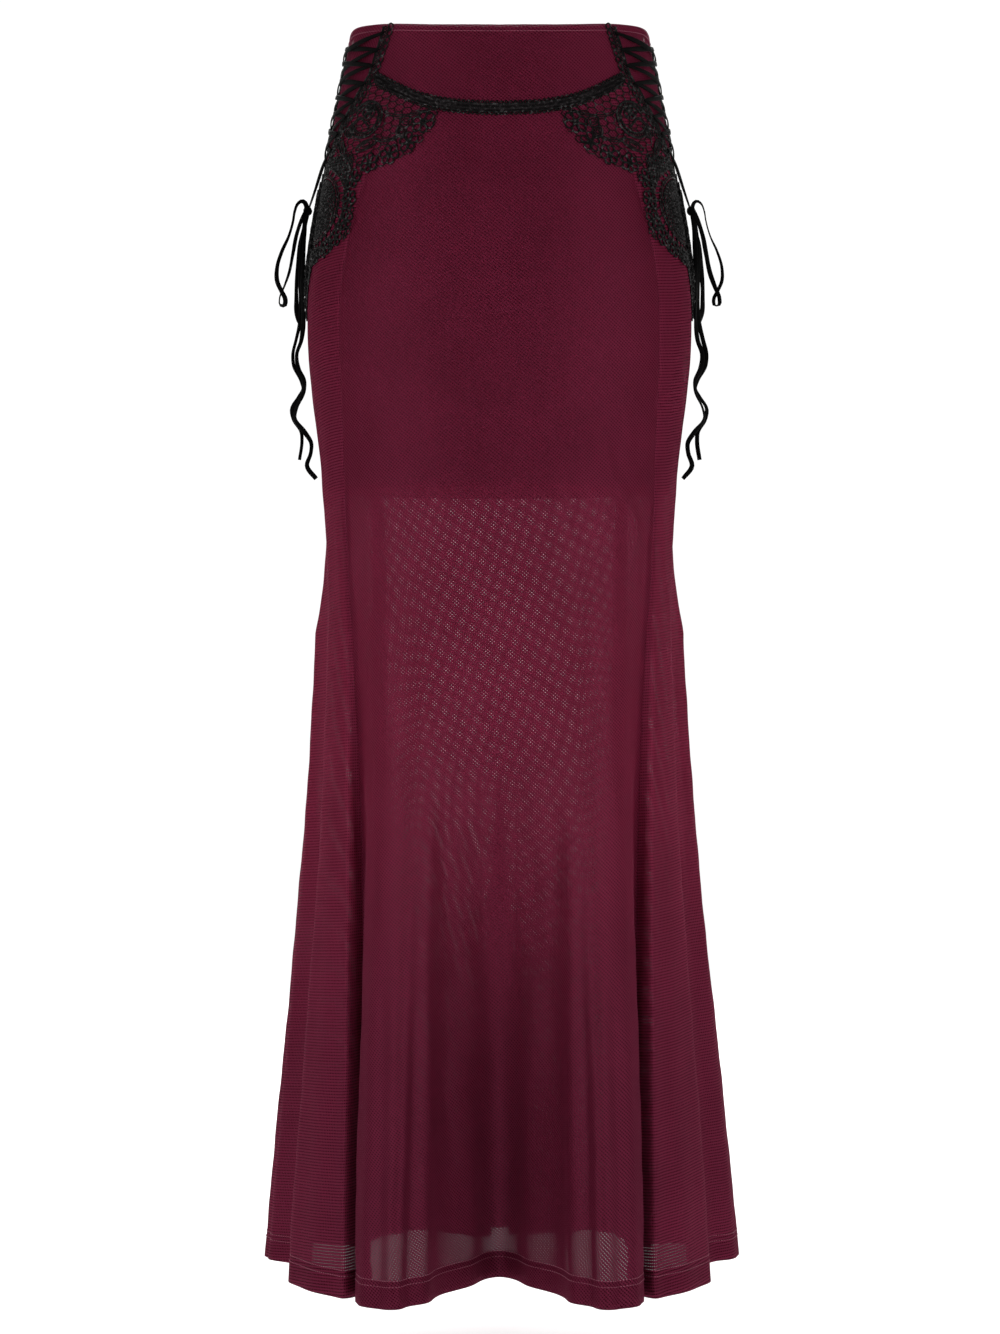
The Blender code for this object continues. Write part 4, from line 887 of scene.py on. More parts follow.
def mesh_cloth(name, first_wave, second_wave, second_weight, openness, light=CLOTH_LIGHT,
               with_godet=False):
    """Knitted mesh: two sets of waves, holes in their troughs, and yarn that glows when lit
    from behind."""
    material, tree, shader = new_finish(name, 0.70, 0.18, SHEEN_TINT, 0.03)
    across, down = grain_axes(tree)
    first = waves_along(tree, across, down, *first_wave)
    second = waves_along(tree, across, down, *second_wave)
    weave = sum_of(tree, "ADD", first, sum_of(tree, "MULTIPLY", second, second_weight))
    yarn = sum_of(tree, "SUBTRACT", speckle(tree, 900.0), 0.5)
    large = sum_of(tree, "SUBTRACT", speckle(tree, 22.0, 3.0), 0.5)
    shade = sum_of(tree, "ADD", stepped(tree, weave, -1.4, 1.4, 0.0, 0.80),
                   sum_of(tree, "MULTIPLY", yarn, 0.9))
    shade = sum_of(tree, "ADD", shade, sum_of(tree, "MULTIPLY", large, 0.35))
    colour = mixed_colours(tree, stepped(tree, shade, 0.0, 1.0), CLOTH_DARK, light)
    holes = stepped(tree, weave, -0.3, -1.2)
    # 1 above the knee, 0 in the flare: there the holes close and the glow darkens, partly slack
    #                                   knit, partly painted shade of the flare's folds
    stretched_and_unshaded = stepped(tree, down, *SLACK_AND_SHADED_DROPS, 1.0, 0.0)
    opened = sum_of(tree, "ADD", openness * CLOSED_SHARE, sum_of(
        tree, "MULTIPLY", stretched_and_unshaded, openness * (1.0 - CLOSED_SHARE)))
    if with_godet:
        edge = sum_of(tree, "MULTIPLY", sum_of(tree, "SUBTRACT", down, GODET_APEX), GODET_SPREAD)
        beside = sum_of(tree, "SUBTRACT", sum_of(tree, "ABSOLUTE", across, 0.0), edge)
        clear = stepped(tree, beside, -0.001, 0.003, GODET_OPENNESS, 1.0)
        opened = sum_of(tree, "MULTIPLY", opened, clear)
        stretched_and_unshaded = sum_of(tree, "MULTIPLY", stretched_and_unshaded, clear)
    alpha = sum_of(tree, "SUBTRACT", 1.0, sum_of(tree, "MULTIPLY", holes, opened))
    link_nodes(tree, (colour, shader.inputs["Base Color"]), (alpha, shader.inputs["Alpha"]))
    raised(tree, shader, weave, 0.35, 0.0004)
    glow = add_node(tree, "ShaderNodeBsdfTranslucent")
    # the glow's colour darkens in the flare: partly slack yarn, partly painted shade
    tree.links.new(mixed_colours(tree, stretched_and_unshaded, SLACK_GLOW_AND_PAINTED_SHADE, SHINE_THROUGH), glow.inputs["Color"])
    gap = add_node(tree, "ShaderNodeBsdfTransparent")
    behind = add_node(tree, "ShaderNodeMixShader")
    satin = add_node(tree, "ShaderNodeBsdfAnisotropic",
                     {"Color": SATIN_GLOSS, "Roughness": SATIN_ROUGHNESS})
    front = add_node(tree, "ShaderNodeAddShader")
    cloth = add_node(tree, "ShaderNodeMixShader", {0: BACKLIT_SHARE})
    link_nodes(tree, (alpha, behind.inputs[0]), (gap.outputs[0], behind.inputs[1]),
               (glow.outputs[0], behind.inputs[2]), (shader.outputs[0], front.inputs[0]),
               (satin.outputs[0], front.inputs[1]), (front.outputs[0], cloth.inputs[1]),
               (behind.outputs[0], cloth.inputs[2]),
               (cloth.outputs[0], tree.nodes["Material Output"].inputs["Surface"]))
    return material


SLANT_WAVES = ((300.0, -380.0), (380.0, 320.0), 0.55, 0.70)
CLOTHS = {"slant": mesh_cloth("slant_mesh", *SLANT_WAVES),
          "godet": mesh_cloth("godet_mesh", *SLANT_WAVES, with_godet=True),
          "rib": mesh_cloth("ribbed_mesh", (30.0, 435.0), (520.0, 0.0), 0.35, 0.60, RIB_GRAIN_AND_PAINTED_SHEEN)}
print("cloths", sorted(CLOTHS))

# %% [markdown]
# ## Skirt panels
# A princess-cut skirt has a front, a back and two gores on each side.  Each is a thin
# shell on the outer face of its solid: columns by share, rows by drop, moved by the drape.
# One extra column beyond each edge gives the true direction of the cloth at its seams.

# %% Panel table
PANEL_ROWS = 170
PANELS = table(
    "name first last columns cloth top",
    ("front_panel", -KNEE_SEAM_SHARE, KNEE_SEAM_SHARE, 137, "slant", "seam"),
    ("side_front_left", KNEE_SEAM_SHARE, 1.0, 36, "rib", "seam"),
    ("side_front_right", -1.0, -KNEE_SEAM_SHARE, 36, "rib", "seam"),
    ("side_back_left", 1.0, BACK_SEAM_SHARE, 49, "rib", "waist"),
    ("side_back_right", -BACK_SEAM_SHARE, -1.0, 49, "rib", "waist"),
    ("back_panel", BACK_SEAM_SHARE, 4.0 - BACK_SEAM_SHARE, 113, "godet", "waist"),
)
print("panel columns", {panel.name: panel.columns for panel in PANELS})

# %% Cloth helpers
SHELL = 0.0005
SEAM_GAP = 0.0001


def grain_of(points, drops):
    """Grain map of a grid: arc length from its middle column, and drop."""
    run = run_along(points)
    run = run - run[len(run) // 2][None, :]
    return np.stack([run, drops], axis=2).reshape(-1, 2)


def cloth_shell(name, outer, normals, grain, thickness, material):
    """A thin double-faced shell from a grid of points."""
    columns, rows = outer.shape[:2]
    inner = outer - normals * thickness
    points = np.concatenate([outer.reshape(-1, 3), inner.reshape(-1, 3)])
    return make_piece(name, points, shell_faces(columns, rows), material,
                      np.concatenate([grain, grain]))


def draped(shares, drops):
    """Grid points and normals of a panel, with the drape on them."""
    step = shares[1] - shares[0]
    wide = np.concatenate([shares[:1] - step, shares, shares[-1:] + step])[:, None]
    deep = np.concatenate([drops[:1], drops, drops[-1:]])
    points = skirt_place(wide, deep)
    wide = np.broadcast_to(wide, deep.shape)
    amount = relief(wide, deep) + seam_dip(wide, deep) + hem_dip(deep[:, -1:] - deep)
    points = points + grid_normals(points) * amount[..., None]
    normals = grid_normals(points)
    return points[1:-1], normals[1:-1]


def close_to_seam(points):
    """Bring a grid's first and last column half a seam gap inwards."""
    points = points.copy()
    points[0] += unit(points[1] - points[0]) * SEAM_GAP / 2
    points[-1] += unit(points[-2] - points[-1]) * SEAM_GAP / 2
    return points


# %% Panels
Grid = namedtuple("Grid", "points normals drops shares")
cloth_grids = {}
cut_grids = {}
for panel in PANELS:
    shares = np.linspace(panel.first, panel.last, panel.columns)
    part, _ = folded_side(shares)
    tops = top_of_column(shares)[1] if panel.top == "seam" else waist_drop(part)
    tops = tops + SEAM_GAP / 2
    ends = LENGTH - hem_value("rise", part)
    levels = np.linspace(0.0, 1.0, PANEL_ROWS)[None, :]
    drops = tops[:, None] + (ends - tops)[:, None] * levels
    points, normals = draped(shares, drops)
    points = close_to_seam(points)
    cloth_grids[panel.name] = Grid(points, normals, drops, shares)
    cut_grids[f"cloth_{panel.name}"] = [points]
    cloth_shell(f"cloth_{panel.name}", points, normals, grain_of(points, drops), SHELL,
                CLOTHS[panel.cloth])
print("panels", {name: grid.points.shape[:2] for name, grid in cloth_grids.items()})

# %% [markdown]
# ## Hem
# A maker turns the hem up inside by 21 mm and runs a stretch stitch round its top, so the
# band is double and darker.  The inner layer is a second thin shell just behind the first.

# %% Hem bands
LAYER_BEHIND = 0.0009
HEM_LEVELS = np.linspace(0.0, 0.985, 9)[None, :]
HEM_GRAIN_SHIFT = np.array([0.0007, 0.0011])    # no two layers' holes lie on each other
for panel in PANELS:
    grid = cloth_grids[panel.name]
    band_drops = grid.drops[:, -1:] - HEM_BAND + HEM_BAND * HEM_LEVELS
    band, band_normals = draped(grid.shares, band_drops)
    band = close_to_seam(band) - band_normals * LAYER_BEHIND
    cloth_shell(f"hem_{panel.name}", band, band_normals,
                grain_of(band, band_drops) + HEM_GRAIN_SHIFT, SHELL, CLOTHS[panel.cloth])
    cut_grids[f"cloth_{panel.name}"].append(band)
print("hem band", HEM_BAND, "m")

# %% [markdown]
# ## Seam allowances
# The seams are sewn with 6 mm allowances, pressed open.  Through cloth this sheer they
# show as a darker band along each seam, so they are real strips behind the panels.

# %% Seam allowances
ALLOWANCE = 0.0060
ALLOWANCE_COLUMNS = 4
ALLOWANCE_ROWS = slice(2, PANEL_ROWS - 5)
ALLOWANCE_GRAIN_SHIFT = np.array([0.0011, 0.0006])


def edge_strip(points, normals):
    """A strip of a grid along its first column, as wide as a seam allowance."""
    run = run_along(points)
    behind = points - normals * LAYER_BEHIND
    wanted = np.linspace(0.0, ALLOWANCE, ALLOWANCE_COLUMNS)
    rows = [[np.interp(wanted, run[:, r], behind[:, r, k]) for k in range(3)]
            for r in range(run.shape[1])]
    return np.array(rows).transpose(2, 0, 1)


for panel in PANELS:
    grid = cloth_grids[panel.name]
    for edge, order in (("first", 1), ("last", -1)):
        strip = edge_strip(grid.points[::order, ALLOWANCE_ROWS],
                           grid.normals[::order, ALLOWANCE_ROWS])[::order]
        levels = grid.drops[:ALLOWANCE_COLUMNS][::order, ALLOWANCE_ROWS]
        cloth_shell(f"allowance_{edge}_{panel.name}", strip, grid_normals(strip),
                    grain_of(strip, levels) + ALLOWANCE_GRAIN_SHIFT, SHELL, CLOTHS[panel.cloth])
        cut_grids[f"cloth_{panel.name}"].append(strip)
print("seam allowances", ALLOWANCE, "m")

# %% [markdown]
# ## Yoke and lacing inserts
# Above the braid sits a plain yoke, and on each hip a long triangle of the same mesh backs
# the lacing.  Their columns run from the waist edge to the seam below.

# %% Yoke and inserts
UPPER_ROWS = 26
YOKE_COLUMNS = 91
INSERT_COLUMNS = 31
UPPER_RELIEF = 0.5          # the close-fitting yoke and inserts take half of the drape


def share_at_waist(share):
    """Share at the waist edge of a yoke or insert column, from that at its foot."""
    part, side = np.abs(share), np.sign(share)
    in_yoke = part * WAIST_BORDER_SHARE / YOKE_END_SHARE
    in_insert = 1.0 - (1.0 - part) * (1.0 - WAIST_BORDER_SHARE) / (1.0 - YOKE_END_SHARE)
    return np.where(part <= YOKE_END_SHARE, in_yoke, in_insert) * side


def upper_piece(name, foot_shares, foot_drops):
    """A piece between the waist edge and a seam."""
    top_shares = share_at_waist(foot_shares)
    levels = np.linspace(0.0, 1.0, UPPER_ROWS)[None, :]
    tops = waist_drop(top_shares)[:, None]
    drops = tops + (foot_drops[:, None] - SEAM_GAP / 2 - tops) * levels
    across = top_shares[:, None] + (foot_shares - top_shares)[:, None] * levels
    points = column_place(across, drops)
    points = points + grid_normals(points) * (relief(across, drops) * UPPER_RELIEF)[..., None]
    normals = grid_normals(points)
    points = close_to_seam(points)
    cut_grids[name] = [points]
    cloth_shell(name, points, normals, grain_of(points, drops), SHELL * 2, CLOTHS["slant"])


corner_share = float(share_at_hem(YOKE_END_SHARE, YOKE_LINE[-1].drop))
yoke_shares, yoke_drops = top_of_column(np.linspace(-corner_share, corner_share, YOKE_COLUMNS))
insert_shares, insert_drops = top_of_column(np.linspace(corner_share, 1.0, INSERT_COLUMNS))
upper_piece("cloth_front_yoke", yoke_shares, yoke_drops)
upper_piece("cloth_lacing_insert_left", insert_shares, insert_drops)
upper_piece("cloth_lacing_insert_right", -insert_shares[::-1], insert_drops[::-1])
print("yoke corner at hem share", round(corner_share, 3))

# %% [markdown]
# ## Waist edge
# At the waist the mesh is turned in by 6 mm and topstitched, so its edge is double.

# %% Waist turning
WAIST_TURNING = 0.0062
WAIST_COLUMNS = 241
shares = np.linspace(-2.0, 2.0, WAIST_COLUMNS)
levels = np.linspace(0.04, 1.0, 5)[None, :]
drops = waist_drop(folded_side(shares)[0])[:, None] + WAIST_TURNING * levels
turned_in = column_place(shares[:, None], drops)
out = unit(turned_in * (1.0, 1.0, 0.0))
turned_in = turned_in - out * (SHELL * 2 + SEAM_GAP)
cloth_shell("waist_turning", turned_in, out, grain_of(turned_in, drops), SHELL, CLOTHS["slant"])
print("waist turned in", WAIST_TURNING, "m")

# %% [markdown]
# ## Lining
# Under the sheer mesh hangs a short opaque jersey lining, to mid-thigh.  It is a plain
# tube, a little smaller than the skirt, and its edge is turned up and dips at the stitches.

# %% Lining
LINING_BELOW_EDGE = 0.0004
LINING_HEM = 0.360
LINING_INSIDE = 0.0052
LINING_SHELL = 0.0007
LINING_WAVE = 0.0006
LINING_ROLL = 0.0006
LINING_ROLL_HEIGHT = 0.004
LINING_DIP = 0.0004
LINING_DIP_HALF_WIDTH = 0.0015
LINING_STITCHES = 0.012     # above its edge
lining_jersey, tree, shader = new_finish("lining_jersey", 0.6, 0.05, SHEEN_TINT, 0.05)
across, down = grain_axes(tree)
courses = waves_along(tree, across, down, 0.0, 620.0)
wales = waves_along(tree, across, down, 700.0, 0.0)
knit = sum_of(tree, "MULTIPLY", courses, wales)
patchy = sum_of(tree, "SUBTRACT", speckle(tree, 60.0, 3.0), 0.5)
shade = sum_of(tree, "ADD", stepped(tree, knit, -1.0, 1.0, 0.2, 0.6),
               sum_of(tree, "MULTIPLY", patchy, 0.6))
link_nodes(tree, (mixed_colours(tree, stepped(tree, shade, 0.0, 1.0), (0.042, 0.0035, 0.0100),
                                (0.095, 0.0090, 0.0240)), shader.inputs["Base Color"]))
raised(tree, shader, knit, 0.3, 0.0003)

LINING_COLUMNS = 192
LINING_ROWS = 72
shares = np.linspace(-2.0, 2.0, LINING_COLUMNS, endpoint=False)[:, None]
levels = np.linspace(0.0, 1.0, LINING_ROWS)[None, :]
tops = waist_drop(folded_side(shares)[0]) + LINING_BELOW_EDGE
drops = tops + (LINING_HEM - tops) * levels
rounded = np.concatenate([column_place(shares, drops)] * 3)
out = grid_normals(rounded)[LINING_COLUMNS:2 * LINING_COLUMNS]
waves = LINING_WAVE * np.sin(shares * 7.3 + 9.0 * drops) * np.sin(shares * 3.1 + 21.0 * drops)
rolled = LINING_ROLL * np.exp(-((LINING_HEM - drops) / LINING_ROLL_HEIGHT) ** 2)
above = (LINING_HEM - LINING_STITCHES - drops) / LINING_DIP_HALF_WIDTH
dipped = LINING_DIP * np.exp(-above ** 2)
outer = rounded[:LINING_COLUMNS] + out * (waves + rolled - dipped - LINING_INSIDE)[..., None]
inner = outer - out * LINING_SHELL
steps = np.linalg.norm(np.roll(outer, -1, axis=0) - outer, axis=2)
run = np.cumsum(steps, axis=0) - steps
grain = np.stack([run, drops], axis=2).reshape(-1, 2)
make_piece("jersey_lining", np.concatenate([outer.reshape(-1, 3), inner.reshape(-1, 3)]),
           shell_faces(LINING_COLUMNS, LINING_ROWS, closed=True), lining_jersey,
           np.concatenate([grain, grain]))
cut_grids["jersey_lining"] = [np.concatenate([outer, outer[:1]])]
print("lining", LINING_HEM, "m long")

# %% [markdown]
# ## Geometry Nodes: wound thread
# Lace is thread and nothing else.  A tree turns any drawn lines into rounded thread: it
# reads each line's own thickness, makes it slightly lumpy as wound yarn is, sweeps a small
# circle along it and gives it its finish.

# %% Wound thread tree
def new_group(name, inputs):
    """A geometry tree with a geometry in, a geometry out and named inputs."""
    group = bpy.data.node_groups.new(name, "GeometryNodeTree")
    group.interface.new_socket("Geometry", in_out="OUTPUT", socket_type="NodeSocketGeometry")
    group.interface.new_socket("Geometry", in_out="INPUT", socket_type="NodeSocketGeometry")
    for label, kind, value in inputs:
        socket = group.interface.new_socket(label, in_out="INPUT", socket_type=kind)
        if value is not None:
            socket.default_value = value
    start, end = group.nodes.new("NodeGroupInput"), group.nodes.new("NodeGroupOutput")
    return group, start, end


def named_field(group, name, kind="FLOAT"):
    """A named attribute as a field."""
    node = add_node(group, "GeometryNodeInputNamedAttribute", {"Name": name}, data_type=kind)
    return node.outputs["Attribute"]


thread_tree, start, end = new_group("wound_thread", (
    ("Thread Radius", "NodeSocketFloat", 0.0005), ("Lump Depth", "NodeSocketFloat", 0.18),
    ("Lumps Per Metre", "NodeSocketFloat", 900.0), ("Sides", "NodeSocketInt", 6),
    ("Finish", "NodeSocketMaterial", None)))
lines = add_node(thread_tree, "GeometryNodeMeshToCurve")
lumps = add_node(thread_tree, "ShaderNodeTexNoise", {"Detail": 0.0})
factor = sum_of(thread_tree, "ADD", 1.0, sum_of(thread_tree, "MULTIPLY", sum_of(
    thread_tree, "SUBTRACT", lumps.outputs["Fac"], 0.5), start.outputs["Lump Depth"]))
radius = sum_of(thread_tree, "MULTIPLY", sum_of(thread_tree, "MULTIPLY", named_field(
    thread_tree, "thickness"), start.outputs["Thread Radius"]), factor)
profile = add_node(thread_tree, "GeometryNodeCurvePrimitiveCircle", {"Radius": 1.0})
swept = add_node(thread_tree, "GeometryNodeCurveToMesh", {"Fill Caps": True})
real = add_node(thread_tree, "GeometryNodeRealizeInstances")
coated = add_node(thread_tree, "GeometryNodeSetMaterial")
link_nodes(thread_tree, (start.outputs["Geometry"], lines.inputs["Mesh"]),
           (start.outputs["Lumps Per Metre"], lumps.inputs["Scale"]),
           (start.outputs["Sides"], profile.inputs["Resolution"]),
           (lines.outputs["Curve"], swept.inputs["Curve"]),
           (profile.outputs["Curve"], swept.inputs["Profile Curve"]),
           (radius, swept.inputs["Scale"]), (swept.outputs["Mesh"], real.inputs["Geometry"]),
           (real.outputs["Geometry"], coated.inputs["Geometry"]),
           (start.outputs["Finish"], coated.inputs["Material"]),
           (coated.outputs["Geometry"], end.inputs["Geometry"]))
print("tree", thread_tree.name, len(thread_tree.nodes), "nodes")

# %% Grow a piece with a tree
def socket_key(group, label):
    """The identifier of a tree's named input."""
    return next(item.identifier for item in group.interface.items_tree
                if item.name == label and item.in_out == "INPUT")


def grown(name, seedling, group, values):
    """Run a tree on an object and keep its result as a plain mesh at the origin."""
    modifier = seedling.modifiers.new("tree", "NODES")
    modifier.node_group = group
    for label, value in values.items():
        modifier[socket_key(group, label)] = value
    bpy.context.view_layer.update()
    graph = bpy.context.evaluated_depsgraph_get()
    mesh = bpy.data.meshes.new_from_object(seedling.evaluated_get(graph), depsgraph=graph)
    mesh.name = name
    piece = bpy.data.objects.new(name, mesh)
    bpy.context.collection.objects.link(piece)
    bpy.data.objects.remove(seedling)
    mesh.shade_smooth()
    return piece


def drawn_lines(name, lines):
    """Lines as a mesh of edges, with each line's thickness and whether it is closed."""
    points, edges, thickness = [], [], []
    for line in lines:
        first = len(points)
        points += [tuple(p) for p in line.points]
        count = len(line.points)
        edges += [(first + k, first + k + 1) for k in range(count - 1)]
        if line.closed:
            edges.append((first + count - 1, first))
        thickness += [line.thickness] * count
    mesh = bpy.data.meshes.new(name)
    mesh.from_pydata(points, edges, [])
    layer = mesh.attributes.new("thickness", "FLOAT", "POINT")
    layer.data.foreach_set("value", thickness)
    thing = bpy.data.objects.new(name, mesh)
    bpy.context.collection.objects.link(thing)
    return thing


Line = namedtuple("Line", "points thickness closed")

# %% [markdown]
# ## Guipure lace
# Guipure has no net behind it: worked flowers, scrolls and leaves are held by bars.  The
# pattern is drawn flat, by arc length from the side line and by drop, then laid on the
# hip.  Flowers stand along the scalloped edge, a scroll and leaves fill the corner under
# the braid, a six-sided ground joins them, and a dense medallion covers the hip bone.

# %% Lace outline
BORDER_WIDTH = 0.0070
BRAID_WIDTH = 0.0084
FRONT_LACE_EDGE = table(
    "from_side drop",
    (0.1405, 0.0715), (0.1370, 0.0800), (0.1300, 0.0930), (0.1240, 0.1000), (0.1080, 0.1080),
    (0.0930, 0.1118), (0.0830, 0.1150), (0.0795, 0.1230), (0.0805, 0.1400), (0.0795, 0.1610),
    (0.0730, 0.1650), (0.0640, 0.1685), (0.0560, 0.1750), (0.0430, 0.1785), (0.0240, 0.1815),
    (0.0165, 0.1990), (0.0055, 0.2200),
)
BACK_LACE_EDGE = table(
    "from_side drop",
    (-0.0080, 0.0030), (-0.0085, 0.1100), (-0.0150, 0.1500), (-0.0160, 0.1830),
    (-0.0050, 0.2200),
)
LACE_TIP_DROP = 0.224


def border_from_side(drop):
    """Where the front edge of the laced opening lies at a drop."""
    share = np.interp(drop, (0.0, YOKE_LINE[-1].drop, LACING_END_DROP),
                      (WAIST_BORDER_SHARE, YOKE_END_SHARE, 1.0))
    return (1.0 - share) * quarter_length(drop)


def flat_run(path, step):
    """Evenly spaced places on a flat path, with the direction of the path at each."""
    path = np.asarray(path, float)
    at = run_along(path)
    stops = np.linspace(0.0, at[-1], max(2, round(at[-1] / step) + 1))
    places = np.stack([np.interp(stops, at, path[:, k]) for k in (0, 1)], axis=1)
    return places, unit(np.gradient(places, axis=0))


def sideways(directions):
    """Directions a quarter turn away, in the flat pattern."""
    return np.stack([directions[:, 1], -directions[:, 0]], axis=1)


def inside(point, outline):
    """True when a flat point lies inside an outline."""
    x, y = point
    within = False
    for (ax, ay), (bx, by) in zip(outline, outline[1:] + outline[:1]):
        if (ay > y) != (by > y) and x < (bx - ax) * (y - ay) / (by - ay) + ax:
            within = not within
    return within


def near_path(point, path):
    """Distance from a flat point to the nearest of a path's points."""
    return float(np.min(np.linalg.norm(path - np.asarray(point), axis=1)))


# %% Lace drawing tools
THREAD = 0.00052
LACE_HEIGHT = 0.00078
Stroke = namedtuple("Stroke", "places thickness closed")


def ring(centre, half_long, half_wide, turn=0.0, count=12, thickness=1.0):
    """A closed oval of thread in the flat pattern."""
    angle = np.linspace(0.0, 2.0 * math.pi, count, endpoint=False)
    x, y = half_long * np.cos(angle), half_wide * np.sin(angle)
    c, s = math.cos(turn), math.sin(turn)
    places = np.stack([centre[0] + x * c - y * s, centre[1] + x * s + y * c], axis=1)
    return Stroke(places, thickness, True)


def flower(centre, petals, radius, turn, squash=1.0):
    """Petal loops round a small eye; each petal is a pointed ring with its tip inwards."""
    strokes = [ring(centre, radius * 0.13, radius * 0.13, 0.0, 8, 1.2)]
    angle = np.linspace(0.0, 2.0 * math.pi, 13, endpoint=False)
    reach = radius * (0.60 - 0.38 * np.cos(angle))
    spread = radius * 0.31 * np.sin(angle) * (1.0 - 0.35 * np.cos(angle))
    for k in range(petals):
        direction = turn + 2 * math.pi * k / petals
        c, s = math.cos(direction), math.sin(direction)
        size = 1.0 + 0.06 * math.sin(2.7 * k + 5.0 * turn)
        places = np.stack([centre[0] + (reach * c - spread * s) * size * squash,
                           centre[1] + (reach * s + spread * c) * size], axis=1)
        strokes.append(Stroke(places, 1.45, True))
    return strokes


def laid_on_hip(drawn, side, height):
    """Flat strokes as lines in space on one hip."""
    flat = np.concatenate([np.asarray(stroke.places) for stroke in drawn])
    thickness = np.concatenate([[stroke.thickness] * len(stroke.places) for stroke in drawn])
    points, normals = hip_place(flat[:, 0], flat[:, 1])
    lift = height + THREAD * (thickness - 1.0) + 0.00012 * np.sin(flat[:, 0] * 2100
                                                                  + flat[:, 1] * 1700)
    points = (points + normals * lift[:, None]) * (side, 1.0, 1.0)
    ends = np.cumsum([len(stroke.places) for stroke in drawn])[:-1]
    return [Line(part, stroke.thickness, stroke.closed)
            for part, stroke in zip(np.split(points, ends), drawn)]


# %% Border of the laced opening
BORDER_STEP = 0.0011
BORDER_WAVE = 0.0046        # length of a wave of its two wavy cords
BORDER_LOOP_PITCH = 0.0052
border_drops = np.linspace(-0.0020, 0.1300, 60)
border_path = np.stack([border_from_side(border_drops), border_drops], axis=1)
drawn_front = []
places, directions = flat_run(border_path, BORDER_STEP)
run = np.arange(len(places)) * BORDER_STEP
for offset, wave, thickness in ((-0.0030, 0.0, 1.0), (-0.0021, 0.0, 0.8), (0.0026, 0.0, 0.9),
                                (-0.0002, 0.0017, 0.9), (-0.0002, -0.0017, 0.9)):
    shift = offset + wave * np.sin(run * 2 * math.pi / BORDER_WAVE)
    drawn_front.append(Stroke(places + sideways(directions) * shift[:, None], thickness, False))
places, directions = flat_run(border_path, BORDER_LOOP_PITCH)
for place, direction, out in zip(places, directions, sideways(directions)):
    angle = math.atan2(direction[1], direction[0])
    drawn_front.append(ring(place + out * 0.0046, 0.0024, 0.0021, angle, 12, 1.1))
    drawn_front.append(ring(place + out * 0.0036 + direction * 0.0026, 0.0011, 0.0010,
                            angle, 8, 0.9))
print("border threads", len(drawn_front))

# %% Flowers along the scalloped edge
FLOWERS = table(
    "from_side drop petals radius turn",
    (0.1285, 0.0765, 6, 0.0088, 0.30), (0.1195, 0.0915, 5, 0.0078, 0.85),
    (0.1050, 0.1005, 6, 0.0080, 0.10), (0.0875, 0.1060, 6, 0.0078, 0.50),
    (0.0735, 0.1175, 5, 0.0074, 1.10), (0.0725, 0.1335, 6, 0.0074, 0.20),
    (0.0730, 0.1500, 5, 0.0074, 0.70), (0.0640, 0.1620, 6, 0.0072, 0.00),
    (0.0500, 0.1700, 5, 0.0070, 0.40), (0.0350, 0.1735, 6, 0.0070, 0.90),
    (0.0190, 0.1760, 5, 0.0070, 0.20),
)
FLOWER_REACH = 0.0074
EDGE_RING_PITCH = 0.0058
EDGE_RING_DEPTHS = (0.0026, 0.0068, 0.0108)
EDGE_RING_CLEAR = 0.0082    # of a flower's middle
edge_path = np.array([(row.from_side, row.drop) for row in FRONT_LACE_EDGE])
edge_fine = flat_run(edge_path, 0.001)[0]
for row in FLOWERS:
    drawn_front += flower((row.from_side, row.drop), row.petals, row.radius, row.turn)
flower_places = np.array([(row.from_side, row.drop) for row in FLOWERS])
places, directions = flat_run(edge_path, EDGE_RING_PITCH)
for k, (place, out) in enumerate(zip(places[1:-2], sideways(directions)[1:-2])):
    for depth in EDGE_RING_DEPTHS:
        middle = place - out * depth
        clear = near_path(middle, flower_places) > EDGE_RING_CLEAR
        if clear and 0.003 < middle[0] < 0.082:
            drawn_front.append(ring(middle, 0.0023, 0.0019, 0.9 * k + depth * 500, 11, 0.9))
print("with the flowers", len(drawn_front))

# %% Scroll, leaves and buds
# The scroll is an opening spiral of two cords with ladder bars between them.
SCROLL_CENTRE = (0.0765, 0.0705)
SCROLL_HALF = (0.0170, 0.0155)
EYE = (0.0600, 0.0800)
BERRY = (0.1140, 0.0755)
turns = np.linspace(-2.6, 2.75, 60)
grow = np.linspace(0.86, 1.0, 60)
for half_long, half_wide, thickness in ((*SCROLL_HALF, 1.35), (0.0128, 0.0112, 1.2)):
    scroll = np.stack([SCROLL_CENTRE[0] + half_long * grow * np.cos(turns),
                       SCROLL_CENTRE[1] + half_wide * grow * np.sin(turns)], axis=1)
    drawn_front.append(Stroke(scroll, thickness, False))
middle = (drawn_front[-1].places + drawn_front[-2].places) / 2
drawn_front += [ring(place, 0.0014, 0.0011, 0.4 * k, 8, 0.85)
                for k, place in enumerate(middle[::2])]
drawn_front.append(ring(EYE, 0.0046, 0.0036, 0.5, 16, 1.3))
drawn_front.append(ring(EYE, 0.0022, 0.0017, 0.5, 10, 1.0))
stem = np.linspace(0.0, 1.0, 22)
curl = np.stack([0.0570 + 0.0240 * stem, 0.0752 - 0.0052 * np.sin(math.pi * stem) + 0.0012
                 * np.sin(2.6 * math.pi * stem)], axis=1)
drawn_front.append(Stroke(curl, 1.15, False))
drawn_front.append(Stroke(curl + np.array([0.0006, 0.0018]), 1.0, False))
drawn_front += flower((0.0785, 0.0650), 5, 0.0062, 0.5)
LEAVES = table(
    "name from_side drop half_long half_wide turn",
    ("leaf_under_scroll", 0.0815, 0.0915, 0.0105, 0.0038, -0.32),
    ("bud", 0.1120, 0.0832, 0.0048, 0.0040, 0.6),
    ("leaf_at_border", 0.0530, 0.0905, 0.0075, 0.0034, 1.00),
)
